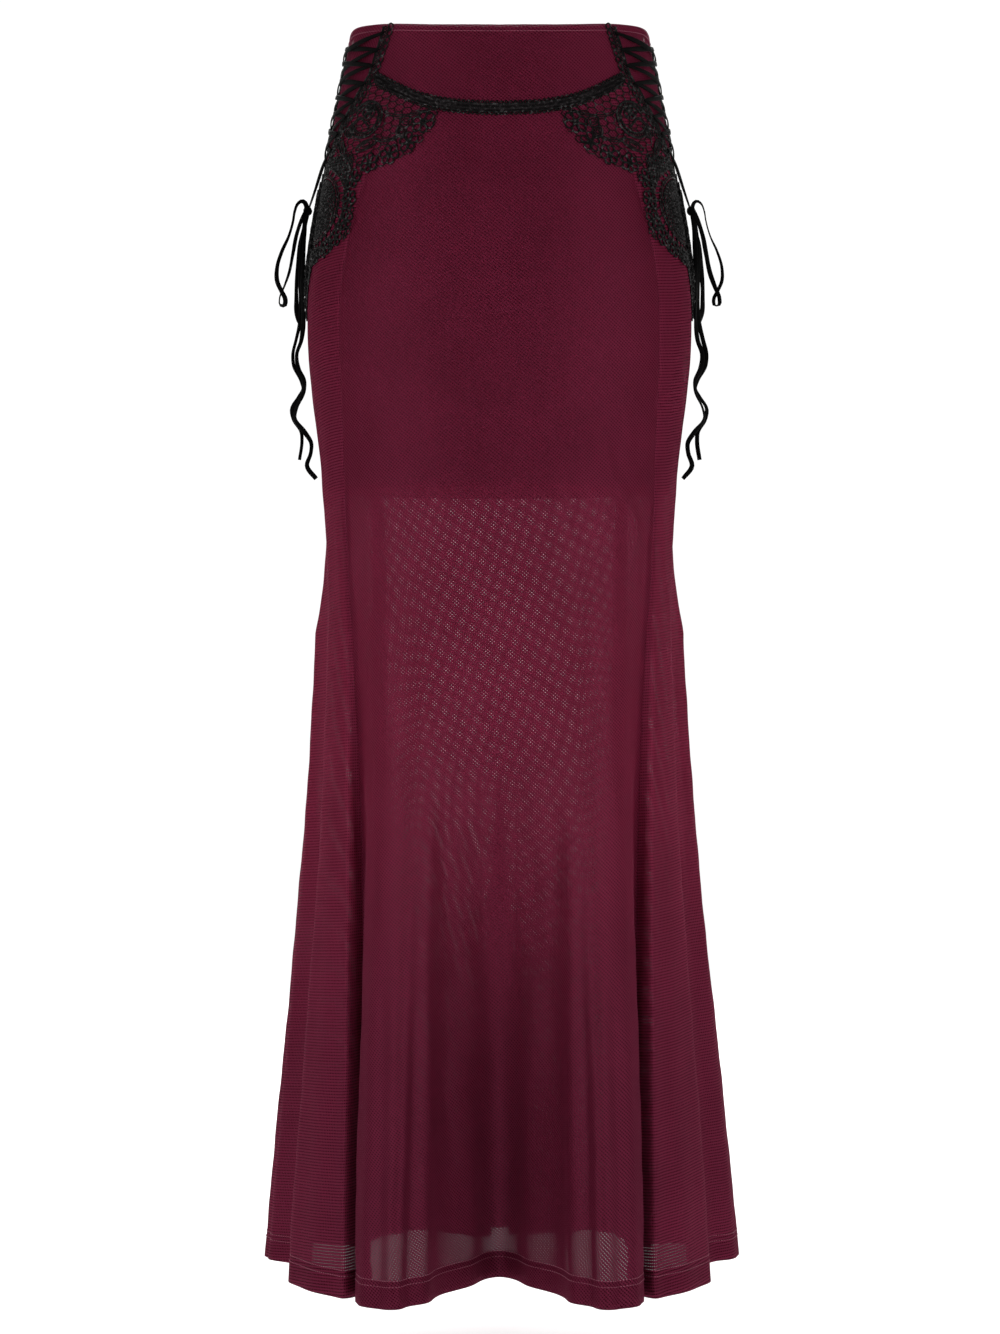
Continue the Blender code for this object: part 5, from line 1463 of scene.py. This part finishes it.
for leaf in LEAVES:
    centre = (leaf.from_side, leaf.drop)
    for scale, thickness in ((1.0, 1.25), (0.66, 0.9), (0.34, 0.9)):
        drawn_front.append(ring(centre, leaf.half_long * scale, leaf.half_wide * scale,
                                leaf.turn, 22, thickness))
for shift in (0.0, 0.0016):
    drawn_front.append(Stroke(np.stack([0.0870 + 0.0240 * stem, 0.0850 + shift + 0.0036
                                        * np.sin(math.pi * stem)], axis=1), 1.15, False))
    drawn_front.append(Stroke(np.stack([0.0925 + 0.0430 * stem, 0.0648 + shift + 0.0050
                                        * np.sin(math.pi * stem ** 0.8)], axis=1), 1.0, False))
drawn_front.append(ring(BERRY, 0.0052, 0.0042, 0.3, 18, 1.1))
drawn_front.append(ring(BERRY, 0.0030, 0.0023, 0.3, 12, 0.9))
print("front lace threads", len(drawn_front))

# %% Medallion over the hip bone
# Thread rings packed close between wavy cords, three cords round them, and spokes that
# make an arc of open cells between the outer two.
MEDALLION = table("from_side drop half_long half_wide", (0.0270, 0.1370, 0.0320, 0.0255))[0]
RING_PITCH = 0.0036
CLOSE_RING = (0.00155, 0.00150)
RING_MARGIN = 0.0020
SIDE_MARGIN = 0.0015        # cords end this far in front of the side line
OPEN_OVAL = np.linspace(-2.25, 2.25, 80)
SPOKE_ANGLES = np.arange(-1.85, 1.9, 0.21)


def within_medallion(place, scale):
    """True inside the medallion's oval, grown by a scale."""
    across = (place[0] - MEDALLION.from_side) / (MEDALLION.half_long * scale)
    down = (place[1] - MEDALLION.drop) / (MEDALLION.half_wide * scale)
    return across ** 2 + down ** 2 < 1.0


def medallion_cord(angle, half_long, half_wide, thickness):
    """An open oval of thread round the medallion's middle."""
    cord = np.stack([MEDALLION.from_side + half_long * np.cos(angle),
                     MEDALLION.drop + half_wide * np.sin(angle)], axis=1)
    return Stroke(cord[cord[:, 0] > SIDE_MARGIN], thickness, False)


for level, scale in enumerate((0.06, 0.25, 0.44, 0.63, 0.82)):
    half_long, half_wide = MEDALLION.half_long * scale, MEDALLION.half_wide * scale
    count = max(5, round(math.pi * (half_long + half_wide) / RING_PITCH))
    for angle in (np.arange(count) + 0.5 * (level % 2)) * 2 * math.pi / count:
        place = (MEDALLION.from_side + half_long * math.cos(angle),
                 MEDALLION.drop + half_wide * math.sin(angle))
        if place[0] > RING_MARGIN:
            facing = math.atan2(half_wide * math.cos(angle), -half_long * math.sin(angle))
            drawn_front.append(ring(place, *CLOSE_RING, facing, 10, 1.0))
    angle = np.linspace(-math.pi, math.pi, 6 * count + 1)
    wave = 0.0007 * np.cos(count * angle)
    drawn_front.append(medallion_cord(angle, half_long + 0.0026 + wave,
                                      half_wide + 0.0022 + wave, 0.95))
for scale, thickness in ((1.0, 1.25), (1.06, 1.0), (1.27, 1.1)):
    drawn_front.append(medallion_cord(OPEN_OVAL, MEDALLION.half_long * scale,
                                      MEDALLION.half_wide * scale, thickness))
for angle in SPOKE_ANGLES:
    spoke = [(MEDALLION.from_side + MEDALLION.half_long * s * math.cos(angle + lean),
              MEDALLION.drop + MEDALLION.half_wide * s * math.sin(angle + lean))
             for s, lean in ((1.06, 0.0), (1.17, 0.045), (1.27, 0.09))]
    drawn_front.append(Stroke(spoke, 1.15, False))
print("with the medallion", len(drawn_front))

# %% Six-sided ground
CELL_HALF_WIDTH = 0.0047
CELL_HALF_HEIGHT = 0.0028
under_braid = [((1.0 - s) * float(quarter_length(float(panel_top(s)))[0]),
                float(panel_top(s)) + BRAID_WIDTH / 2) for s in np.linspace(0.245, 0.575, 12)]
inner_edge = [tuple(p) for p in border_path[::4] + np.array([BORDER_WIDTH / 2, 0.0])
              if p[1] > under_braid[-1][1]]
zone = inner_edge + [(0.0006, 0.136), (0.0006, LACE_TIP_DROP)]
zone = zone + [tuple(p) for p in edge_path[::-1]] + under_braid


def free_of_motifs(place, margin):
    """True where no flower, leaf, scroll or medallion lies."""
    near_flower = near_path(place, flower_places) < FLOWER_REACH + margin
    if near_flower or within_medallion(place, 1.28):
        return False
    across, down = place[0] - SCROLL_CENTRE[0], place[1] - SCROLL_CENTRE[1]
    around = math.hypot(across / SCROLL_HALF[0], down / SCROLL_HALF[1])
    if 0.70 < around < 1.0 and across > -0.013:
        return False
    return all(math.hypot((place[0] - leaf.from_side) / leaf.half_long,
                          (place[1] - leaf.drop) / leaf.half_long) > 0.75 for leaf in LEAVES)


GROUND_COLUMNS = 22
GROUND_ROWS = 34
seen_edges = set()
for i in range(GROUND_COLUMNS):
    for j in range(GROUND_ROWS):
        cx, cy = i * 1.5 * CELL_HALF_WIDTH, (2 * j + i % 2) * CELL_HALF_HEIGHT
        w, h = CELL_HALF_WIDTH, CELL_HALF_HEIGHT
        corners = [(cx + w, cy), (cx + w / 2, cy + h), (cx - w / 2, cy + h),
                   (cx - w, cy), (cx - w / 2, cy - h), (cx + w / 2, cy - h)]
        for a, b in zip(corners, corners[1:] + corners[:1]):
            key = tuple(sorted((tuple(np.round(a, 5)), tuple(np.round(b, 5)))))
            middle = ((a[0] + b[0]) / 2, (a[1] + b[1]) / 2)
            if key in seen_edges or not inside(middle, zone) or not free_of_motifs(middle, 0.0):
                continue
            seen_edges.add(key)
            drawn_front.append(Stroke(np.linspace(a, b, 4), 0.85, False))
print("ground bars", len(seen_edges))

# %% Small rings between the motifs and down the tail
SMALL_RING = (0.00175, 0.00135)
RING_COLUMN = 0.0036
RING_ROW = 0.0027
for i in range(26):
    for j in range(52):
        place = (0.0022 + (i + 0.5 * (j % 2)) * RING_COLUMN, 0.0985 + j * RING_ROW)
        near = near_path(place, edge_fine)
        low_part = place[1] > 0.178 and place[0] < 0.028
        if inside(place, zone) and near > 0.0015 and (low_part or (
                free_of_motifs(place, -0.0008) and place[0] < 0.0700)):
            drawn_front.append(ring(place, *SMALL_RING, 0.8 * i + j, 9, 1.0))
print("all front lace threads", len(drawn_front))

# %% Back lace band
drawn_back = []
back_path = np.array([(row.from_side, row.drop) for row in BACK_LACE_EDGE])
places, directions = flat_run(back_path, 0.0085)
for place, direction, out in zip(places[1:-1], directions[1:], sideways(directions)[1:]):
    angle = math.atan2(direction[1], direction[0])
    drawn_back.append(ring(place + out * 0.0006, 0.0042, 0.0024, angle, 14, 1.1))
    drawn_back.append(ring(place + out * 0.0006, 0.0022, 0.0011, angle, 10, 0.9))
places, directions = flat_run(back_path, 0.002)
for offset, thickness in ((-0.0022, 1.5), (0.0006, 1.9), (0.0034, 1.9), (0.0061, 1.5)):
    line = places + sideways(directions) * offset
    drawn_back.append(Stroke(line[line[:, 0] < -0.0014], thickness, False))
back_outline = [tuple(p) for p in back_path] + [(-0.0004, 0.222), (-0.0004, 0.003)]
for j in range(82):
    for i in range(6):
        place = (-0.0020 - (i + 0.5 * (j % 2)) * RING_COLUMN, 0.0045 + j * RING_ROW)
        if inside(place, back_outline) and near_path(place, back_path) > 0.0012:
            drawn_back.append(ring(place, *SMALL_RING, 0.9 * i + 0.7 * j, 9, 1.0))
print("back lace threads", len(drawn_back))

# %% Raised strip down the side line
# Below the lacing the lace is worked double, so that it stands up from the cloth.
STRIP_LAYERS = table(
    "lift half_width top foot",
    (0.0011, 0.0105, 0.108, 0.216), (0.0022, 0.0075, 0.114, 0.210),
    (0.0032, 0.0045, 0.120, 0.202),
)
raised_rings = {(part, layer.lift): [] for part in ("front", "back") for layer in STRIP_LAYERS}
for layer in STRIP_LAYERS:
    for j in range(int((layer.foot - layer.top) / RING_ROW)):
        drop = layer.top + j * RING_ROW
        width = layer.half_width * min(1.0, (layer.foot - drop) / 0.03 + 0.25)
        for i in range(4):
            u, turn = 0.0022 + (i + 0.5 * (j % 2)) * 0.0034, 0.8 * i + 1.3 * j
            if u < width:
                for part, way in (("front", 1), ("back", -1)):
                    raised_rings[part, layer.lift].append(
                        ring((way * u, drop), 0.0018, 0.0014, way * turn, 9))
print("raised rings", {key: len(rings) for key, rings in raised_rings.items()})

# %% Grow the lace
THREAD_VALUES = {"Thread Radius": THREAD, "Lump Depth": 0.5, "Lumps Per Metre": 900.0,
                 "Sides": 6, "Finish": lace_black}
lace_pieces = {}
for word, side in SIDES:
    for part, drawn in (("front", drawn_front), ("back", drawn_back)):
        laid = laid_on_hip(drawn, side, LACE_HEIGHT)
        for layer in STRIP_LAYERS:
            laid += laid_on_hip(raised_rings[part, layer.lift], side, LACE_HEIGHT + layer.lift)
        lines = drawn_lines(f"lines_{part}_{word}", laid)
        name = f"guipure_{part}_{word}"
        lace_pieces[name] = grown(name, lines, thread_tree, THREAD_VALUES)
        print(name, len(lace_pieces[name].data.polygons), "faces")

# %% [markdown]
# ## Braid
# The yoke seam is covered by a gimp braid: a flat core wound across with thread, and a row
# of tiny loops on both edges.  Core, windings and loops all follow the curve of the seam.

# %% Braid path
BRAID_END_SHARE = 0.566
BRAID_CORE = 0.0062
PICOT_PITCH = 0.0037
PICOT_RISE = 0.0021
WINDING_PITCH = 0.00105
CORE_LIFT = 0.0013
WINDING_LIFT = 0.0016
RIDGE_RISE = 0.00045        # of the two ridges that run along the core
CORE_SHELL = 0.0006
CORE_POINTS = 260
SEAM_SAMPLES = 900
PICOT_LIFT = 0.0011
fine_shares = np.linspace(-BRAID_END_SHARE, BRAID_END_SHARE, SEAM_SAMPLES)
seam_points = column_place(fine_shares, panel_top(fine_shares))
seam_run = run_along(seam_points)


def on_braid(run, offset, lift):
    """Points on the braid: run along it, offset down from its middle, lift off the cloth."""
    run, offset = np.broadcast_arrays(np.asarray(run, float), np.asarray(offset, float))
    share = np.interp(run, seam_run, fine_shares)
    drop = panel_top(share) + offset
    here = column_place(share, drop)
    ahead = column_place(share + NUDGE, drop) - column_place(share - NUDGE, drop)
    below = column_place(share, drop + NUDGE) - column_place(share, drop - NUDGE)
    return here + unit(np.cross(below, ahead)) * np.asarray(lift)[..., None]


def ridged(offsets, lift):
    """Height of the core or of its windings, with the two ridges."""
    return lift + RIDGE_RISE * np.cos(offsets / BRAID_CORE * 4 * math.pi)


total = seam_run[-1]
print("braid path", round(total, 3), "m")

# %% Braid core and threads
rail = np.linspace(0.0, total, CORE_POINTS)
core_offsets = np.linspace(-0.5, 0.5, 9) * BRAID_CORE
core = on_braid(rail[:, None], core_offsets[None, :],
                ridged(core_offsets, CORE_LIFT)[None, :] * np.ones((len(rail), 1)))
core_grain = np.stack(np.broadcast_arrays(rail[:, None], core_offsets[None, :]), axis=2)
braid_core = cloth_shell("braid_core", core, grid_normals(core), core_grain.reshape(-1, 2),
                         CORE_SHELL, braid_black)
lines = []
for run in np.arange(0.0004, total, WINDING_PITCH):
    offsets = np.linspace(-0.5, 0.5, 7) * BRAID_CORE
    lines.append(Line(on_braid(run + 0.15 * offsets, offsets, ridged(offsets, WINDING_LIFT)),
                      0.50, False))
for edge in (-1.0, 1.0):
    for run in np.arange(0.0022, total - 0.002, PICOT_PITCH):
        angle = np.linspace(-0.35, math.pi + 0.35, 9)
        offsets = edge * (BRAID_CORE / 2 + 0.0002 + PICOT_RISE * np.sin(angle))
        places = run + 0.36 * PICOT_PITCH * np.cos(angle)
        lines.append(Line(on_braid(places, offsets, PICOT_LIFT + 0 * offsets), 1.15, False))
    for offset, lift, thickness in ((0.5, 0.0014, 1.15), (0.0, 0.0016, 0.5)):
        lines.append(Line(on_braid(rail, edge * BRAID_CORE * offset + 0 * rail,
                                   lift + 0 * rail), thickness, False))
braid_threads = grown("braid_threads", drawn_lines("braid_lines", lines), thread_tree,
                      THREAD_VALUES)
print("braid threads", len(braid_threads.data.polygons), "faces")

# %% [markdown]
# ## Lacing
# One long tape criss-crosses each hip through the loops of the lace border, as a shoe is
# laced: two strands that swap sides at every row, one over and one under.

# %% Lacing
LACING_ROWS = table(
    "front_drop back_drop",
    (0.0035, 0.0050), (0.0165, 0.0170), (0.0285, 0.0290), (0.0420, 0.0430), (0.0545, 0.0560),
    (0.0665, 0.0690), (0.0785, 0.0820), (0.0905, 0.0945),
)
LACING_BACK_FROM_SIDE = -0.0035
LACING_OVER = 0.0029      # flat tape lies closer to the cloth than a round cord would
LACING_UNDER = 0.0014
LACING_AT_LOOP = 0.0020
LACING_STEP = 0.0015
CROSSING_POINTS = 21
LACING_SAG = 0.0011
LACING_ROLL = 0.16
LACING_WIDTH = 0.0042
LACING_PINCH = 0.0017       # how much narrower the tape is in a loop of the border
LACING_FROM_BACK = table(
    "from_side drop lift",
    (-0.0046, 0.1065, 0.0042), (-0.0036, 0.1185, 0.0062), (-0.0016, 0.1325, 0.0086),
)
LACING_FROM_FRONT = table(
    "from_side drop lift",
    (0.0180, 0.1030, 0.0040), (0.0085, 0.1165, 0.0060), (0.0014, 0.1325, 0.0086),
)
lacing_pieces = {}
for word, side in SIDES:
    for strand, starts_in_front in (("over", True), ("under", False)):
        stops = []
        for k, row in enumerate(LACING_ROWS):
            front = (k % 2 == 0) == starts_in_front
            u = float(border_from_side(row.front_drop)[0]) if front else LACING_BACK_FROM_SIDE
            stops.append((u, row.front_drop if front else row.back_drop))
        middle = LACING_OVER if starts_in_front else LACING_UNDER
        us, ds, lifts, spans = [], [], [], []
        for k, ((u0, d0), (u1, d1)) in enumerate(zip(stops, stops[1:])):
            t = np.linspace(0.0, 1.0, CROSSING_POINTS + 1)[:-1]
            sag = LACING_SAG * math.sin(1.3 * k + 2.0 * starts_in_front)
            us += list(u0 + (u1 - u0) * t)
            spans += list(k + t)
            ds += list(d0 + (d1 - d0) * t + sag * np.sin(math.pi * t))
            lifts += list(LACING_AT_LOOP + (middle - LACING_AT_LOOP) * np.sin(math.pi * t) ** 2)
        feet = LACING_FROM_BACK if starts_in_front else LACING_FROM_FRONT
        leg = spaced([(*stops[-1], LACING_AT_LOOP)] + feet, LACING_STEP)[0]
        us, ds, lifts = us + list(leg[:, 0]), ds + list(leg[:, 1]), lifts + list(leg[:, 2])
        spans += list(len(stops) - 1 + np.linspace(0.0, 0.5, len(leg)))
        points, normals = hip_place(us, ds)
        points = (points + normals * np.array(lifts)[:, None]) * (side, 1, 1)
        along, normals = square_to(points, normals * (side, 1, 1))
        t = np.array(spans)
        roll = (LACING_ROLL * np.sin(2.0 * math.pi * t) * np.sin(1.7 * t + side))[:, None]
        normals = normals * np.cos(roll) + np.cross(along, normals) * np.sin(roll)
        width = LACING_WIDTH - LACING_PINCH * np.abs(np.cos(math.pi * t)) ** 6
        name = f"ribbon_lacing_{strand}_{word}"
        lacing_pieces[name] = sweep_ribbon(name, points, along, normals, width,
                                           RIBBON_THICKNESS, tape_black)
print("lacing strands", len(lacing_pieces))

# %% Knots
# A knot is one short length of the tape, wound crosswise until it is a ball.
KNOT_LENGTH = 0.0130
KNOT_TURNS = 7.0
KNOT_POINTS = 220
KNOT_TAPE = (0.0034, 0.0016)    # the tape is folded in a knot, so narrower and thicker
knots = {}
for word, side in SIDES:
    t = np.linspace(0.0, 1.0, KNOT_POINTS)
    around = 2 * math.pi * KNOT_TURNS * t
    tilt = 1.15 * np.sin(2 * math.pi * 1.5 * t + 0.4)
    radial = np.stack([np.cos(around) * np.cos(tilt), np.sin(tilt),
                       np.sin(around) * np.cos(tilt)], axis=1)
    swell = np.array((0.0029, KNOT_LENGTH * 0.36, 0.0034)) * (0.55 + 0.45 * t[:, None])
    points = on_side(KNOT_CENTRE_MM, side) + radial * swell
    along, normals = square_to(points, radial)
    name = f"ribbon_knot_{word}"
    knots[name] = sweep_ribbon(name, points, along, normals, *KNOT_TAPE, tape_black)
print("knots", len(knots))

# %% [markdown]
# ## Geometry Nodes: topstitches
# The waist edge and the hem are sewn with a stretch stitch.  A tree puts a short rounded
# stitch at an even spacing along each line and turns it to follow.

# %% Stitch tree
stitch_tree, start, end = new_group("topstitches", (
    ("Pitch", "NodeSocketFloat", 0.0026), ("Stitch Length", "NodeSocketFloat", 0.0019),
    ("Stitch Radius", "NodeSocketFloat", 0.00022), ("Seed", "NodeSocketInt", 4),
    ("Finish", "NodeSocketMaterial", None)))
lines = add_node(stitch_tree, "GeometryNodeMeshToCurve")
posts = add_node(stitch_tree, "GeometryNodeCurveToPoints", mode="LENGTH")
bead = add_node(stitch_tree, "GeometryNodeMeshUVSphere", {"Segments": 6, "Rings": 4,
                                                          "Radius": 1.0})
turned = add_node(stitch_tree, "FunctionNodeAlignRotationToVector", axis="Z")
size = add_node(stitch_tree, "ShaderNodeCombineXYZ")
half = sum_of(stitch_tree, "MULTIPLY", start.outputs["Stitch Length"], 0.5)
vary = add_node(stitch_tree, "FunctionNodeRandomValue", {2: 0.85, 3: 1.1}, data_type="FLOAT")
stitches = add_node(stitch_tree, "GeometryNodeInstanceOnPoints")
real = add_node(stitch_tree, "GeometryNodeRealizeInstances")
coated = add_node(stitch_tree, "GeometryNodeSetMaterial")
random_out = next(out for out in vary.outputs if out.type == "VALUE" and out.enabled)
link_nodes(stitch_tree, (start.outputs["Geometry"], lines.inputs["Mesh"]),
           (lines.outputs["Curve"], posts.inputs["Curve"]),
           (start.outputs["Pitch"], posts.inputs["Length"]),
           (start.outputs["Seed"], vary.inputs["Seed"]),
           (posts.outputs["Tangent"], turned.inputs["Vector"]),
           (sum_of(stitch_tree, "MULTIPLY", half, random_out), size.inputs["Z"]),
           (start.outputs["Stitch Radius"], size.inputs["X"]),
           (start.outputs["Stitch Radius"], size.inputs["Y"]),
           (posts.outputs["Points"], stitches.inputs["Points"]),
           (bead.outputs["Mesh"], stitches.inputs["Instance"]),
           (turned.outputs["Rotation"], stitches.inputs["Rotation"]),
           (size.outputs["Vector"], stitches.inputs["Scale"]),
           (stitches.outputs["Instances"], real.inputs["Geometry"]),
           (real.outputs["Geometry"], coated.inputs["Geometry"]),
           (start.outputs["Finish"], coated.inputs["Material"]),
           (coated.outputs["Geometry"], end.inputs["Geometry"]))
print("tree", stitch_tree.name, len(stitch_tree.nodes), "nodes")

# %% Stitch lines
wine_thread, tree, shader = new_finish("wine_thread", 0.45, 0.2, SHEEN_TINT, 0.4)
link_nodes(tree, (mixed_colours(tree, speckle(tree, 700.0), (0.16, 0.022, 0.050),
                                (0.50, 0.150, 0.230)), shader.inputs["Base Color"]))
TOPSTITCH_DROP = 0.0052
HEM_ROWS_APART = 0.0045
STITCH_LIFT = 0.0002
seam_lines = []
for grid in cloth_grids.values():
    heights = grid.drops[:, -1:] - grid.drops
    lifted = grid.points + grid.normals * STITCH_LIFT
    for height in (HEM_BAND, HEM_BAND - HEM_ROWS_APART):
        row = [[np.interp(height, heights[c][::-1], lifted[c][::-1, k]) for k in range(3)]
               for c in range(len(lifted))]
        seam_lines.append(Line(np.array(row), 1.0, False))
ring_shares = np.linspace(-2.0, 2.0, 361)[:-1]
edge_drop = waist_drop(folded_side(ring_shares)[0]) + TOPSTITCH_DROP
waist_ring = column_place(ring_shares, edge_drop)
seam_lines.append(Line(waist_ring + unit(waist_ring * (1, 1, 0)) * 0.0004, 1.0, True))
stitch_values = {"Pitch": 0.0026, "Stitch Length": 0.0020, "Stitch Radius": 0.00026,
                 "Seed": 4, "Finish": wine_thread}
topstitches = grown("topstitches", drawn_lines("stitch_lines", seam_lines), stitch_tree,
                    stitch_values)
print("topstitches", len(topstitches.data.polygons), "faces")

# %% [markdown]
# ## What each piece stands for
# Every piece rides on the skirt's one body and takes the place of its solid.  The size that
# each cloth piece was cut to is measured and printed.

# %% Declarations
def flat_size(points):
    """Widest row, longest column and area of a cut piece, measured on the cloth."""
    across, down = np.diff(points, axis=0), np.diff(points, axis=1)
    cells = np.linalg.norm(np.cross(across[:, :-1], down[:-1]), axis=2)
    return (float(np.linalg.norm(across, axis=2).sum(axis=0).max()),
            float(np.linalg.norm(down, axis=2).sum(axis=1).max()), float(cells.sum()))


def declare(piece, node=None):
    """Put a piece on the skirt's body and in place of its solid."""
    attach(piece, "root")
    if node:
        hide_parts(node)


for name, grids in cut_grids.items():
    piece = bpy.data.objects[name]
    node = "lining" if name == "jersey_lining" else name.replace("cloth_", "")
    declare(piece, node)
    turned_parts = [f"hem_{node}", f"allowance_first_{node}", f"allowance_last_{node}"]
    if node == "front_yoke":
        turned_parts = ["waist_turning"]
    extras = [thing for thing in bpy.data.objects if thing.name in turned_parts]
    for extra in extras:
        declare(extra)
    width, length, area = flat_size(grids[0])
    if len(extras) > 1:
        width, length = width + 2 * ALLOWANCE, length + HEM_BAND
    area = sum(flat_size(grid)[2] for grid in grids)
    print("cut", name, round(width, 3), "x", round(length, 3), "m,", round(area, 4), "m2")
for name, piece in lace_pieces.items():
    _, part, word = name.split("_")
    declare(piece, f"{part}_lace_{word}")
declare(braid_core, "braid")
declare(braid_threads)
for name, piece in lacing_pieces.items():
    declare(piece, name.replace("ribbon_", ""))
for name, piece in knots.items():
    declare(piece, name.replace("ribbon_", "bow_"))
for name, (piece, part, points, length) in free_cords.items():
    declare(piece, name.replace("ribbon_", "bow_"))
declare(topstitches)
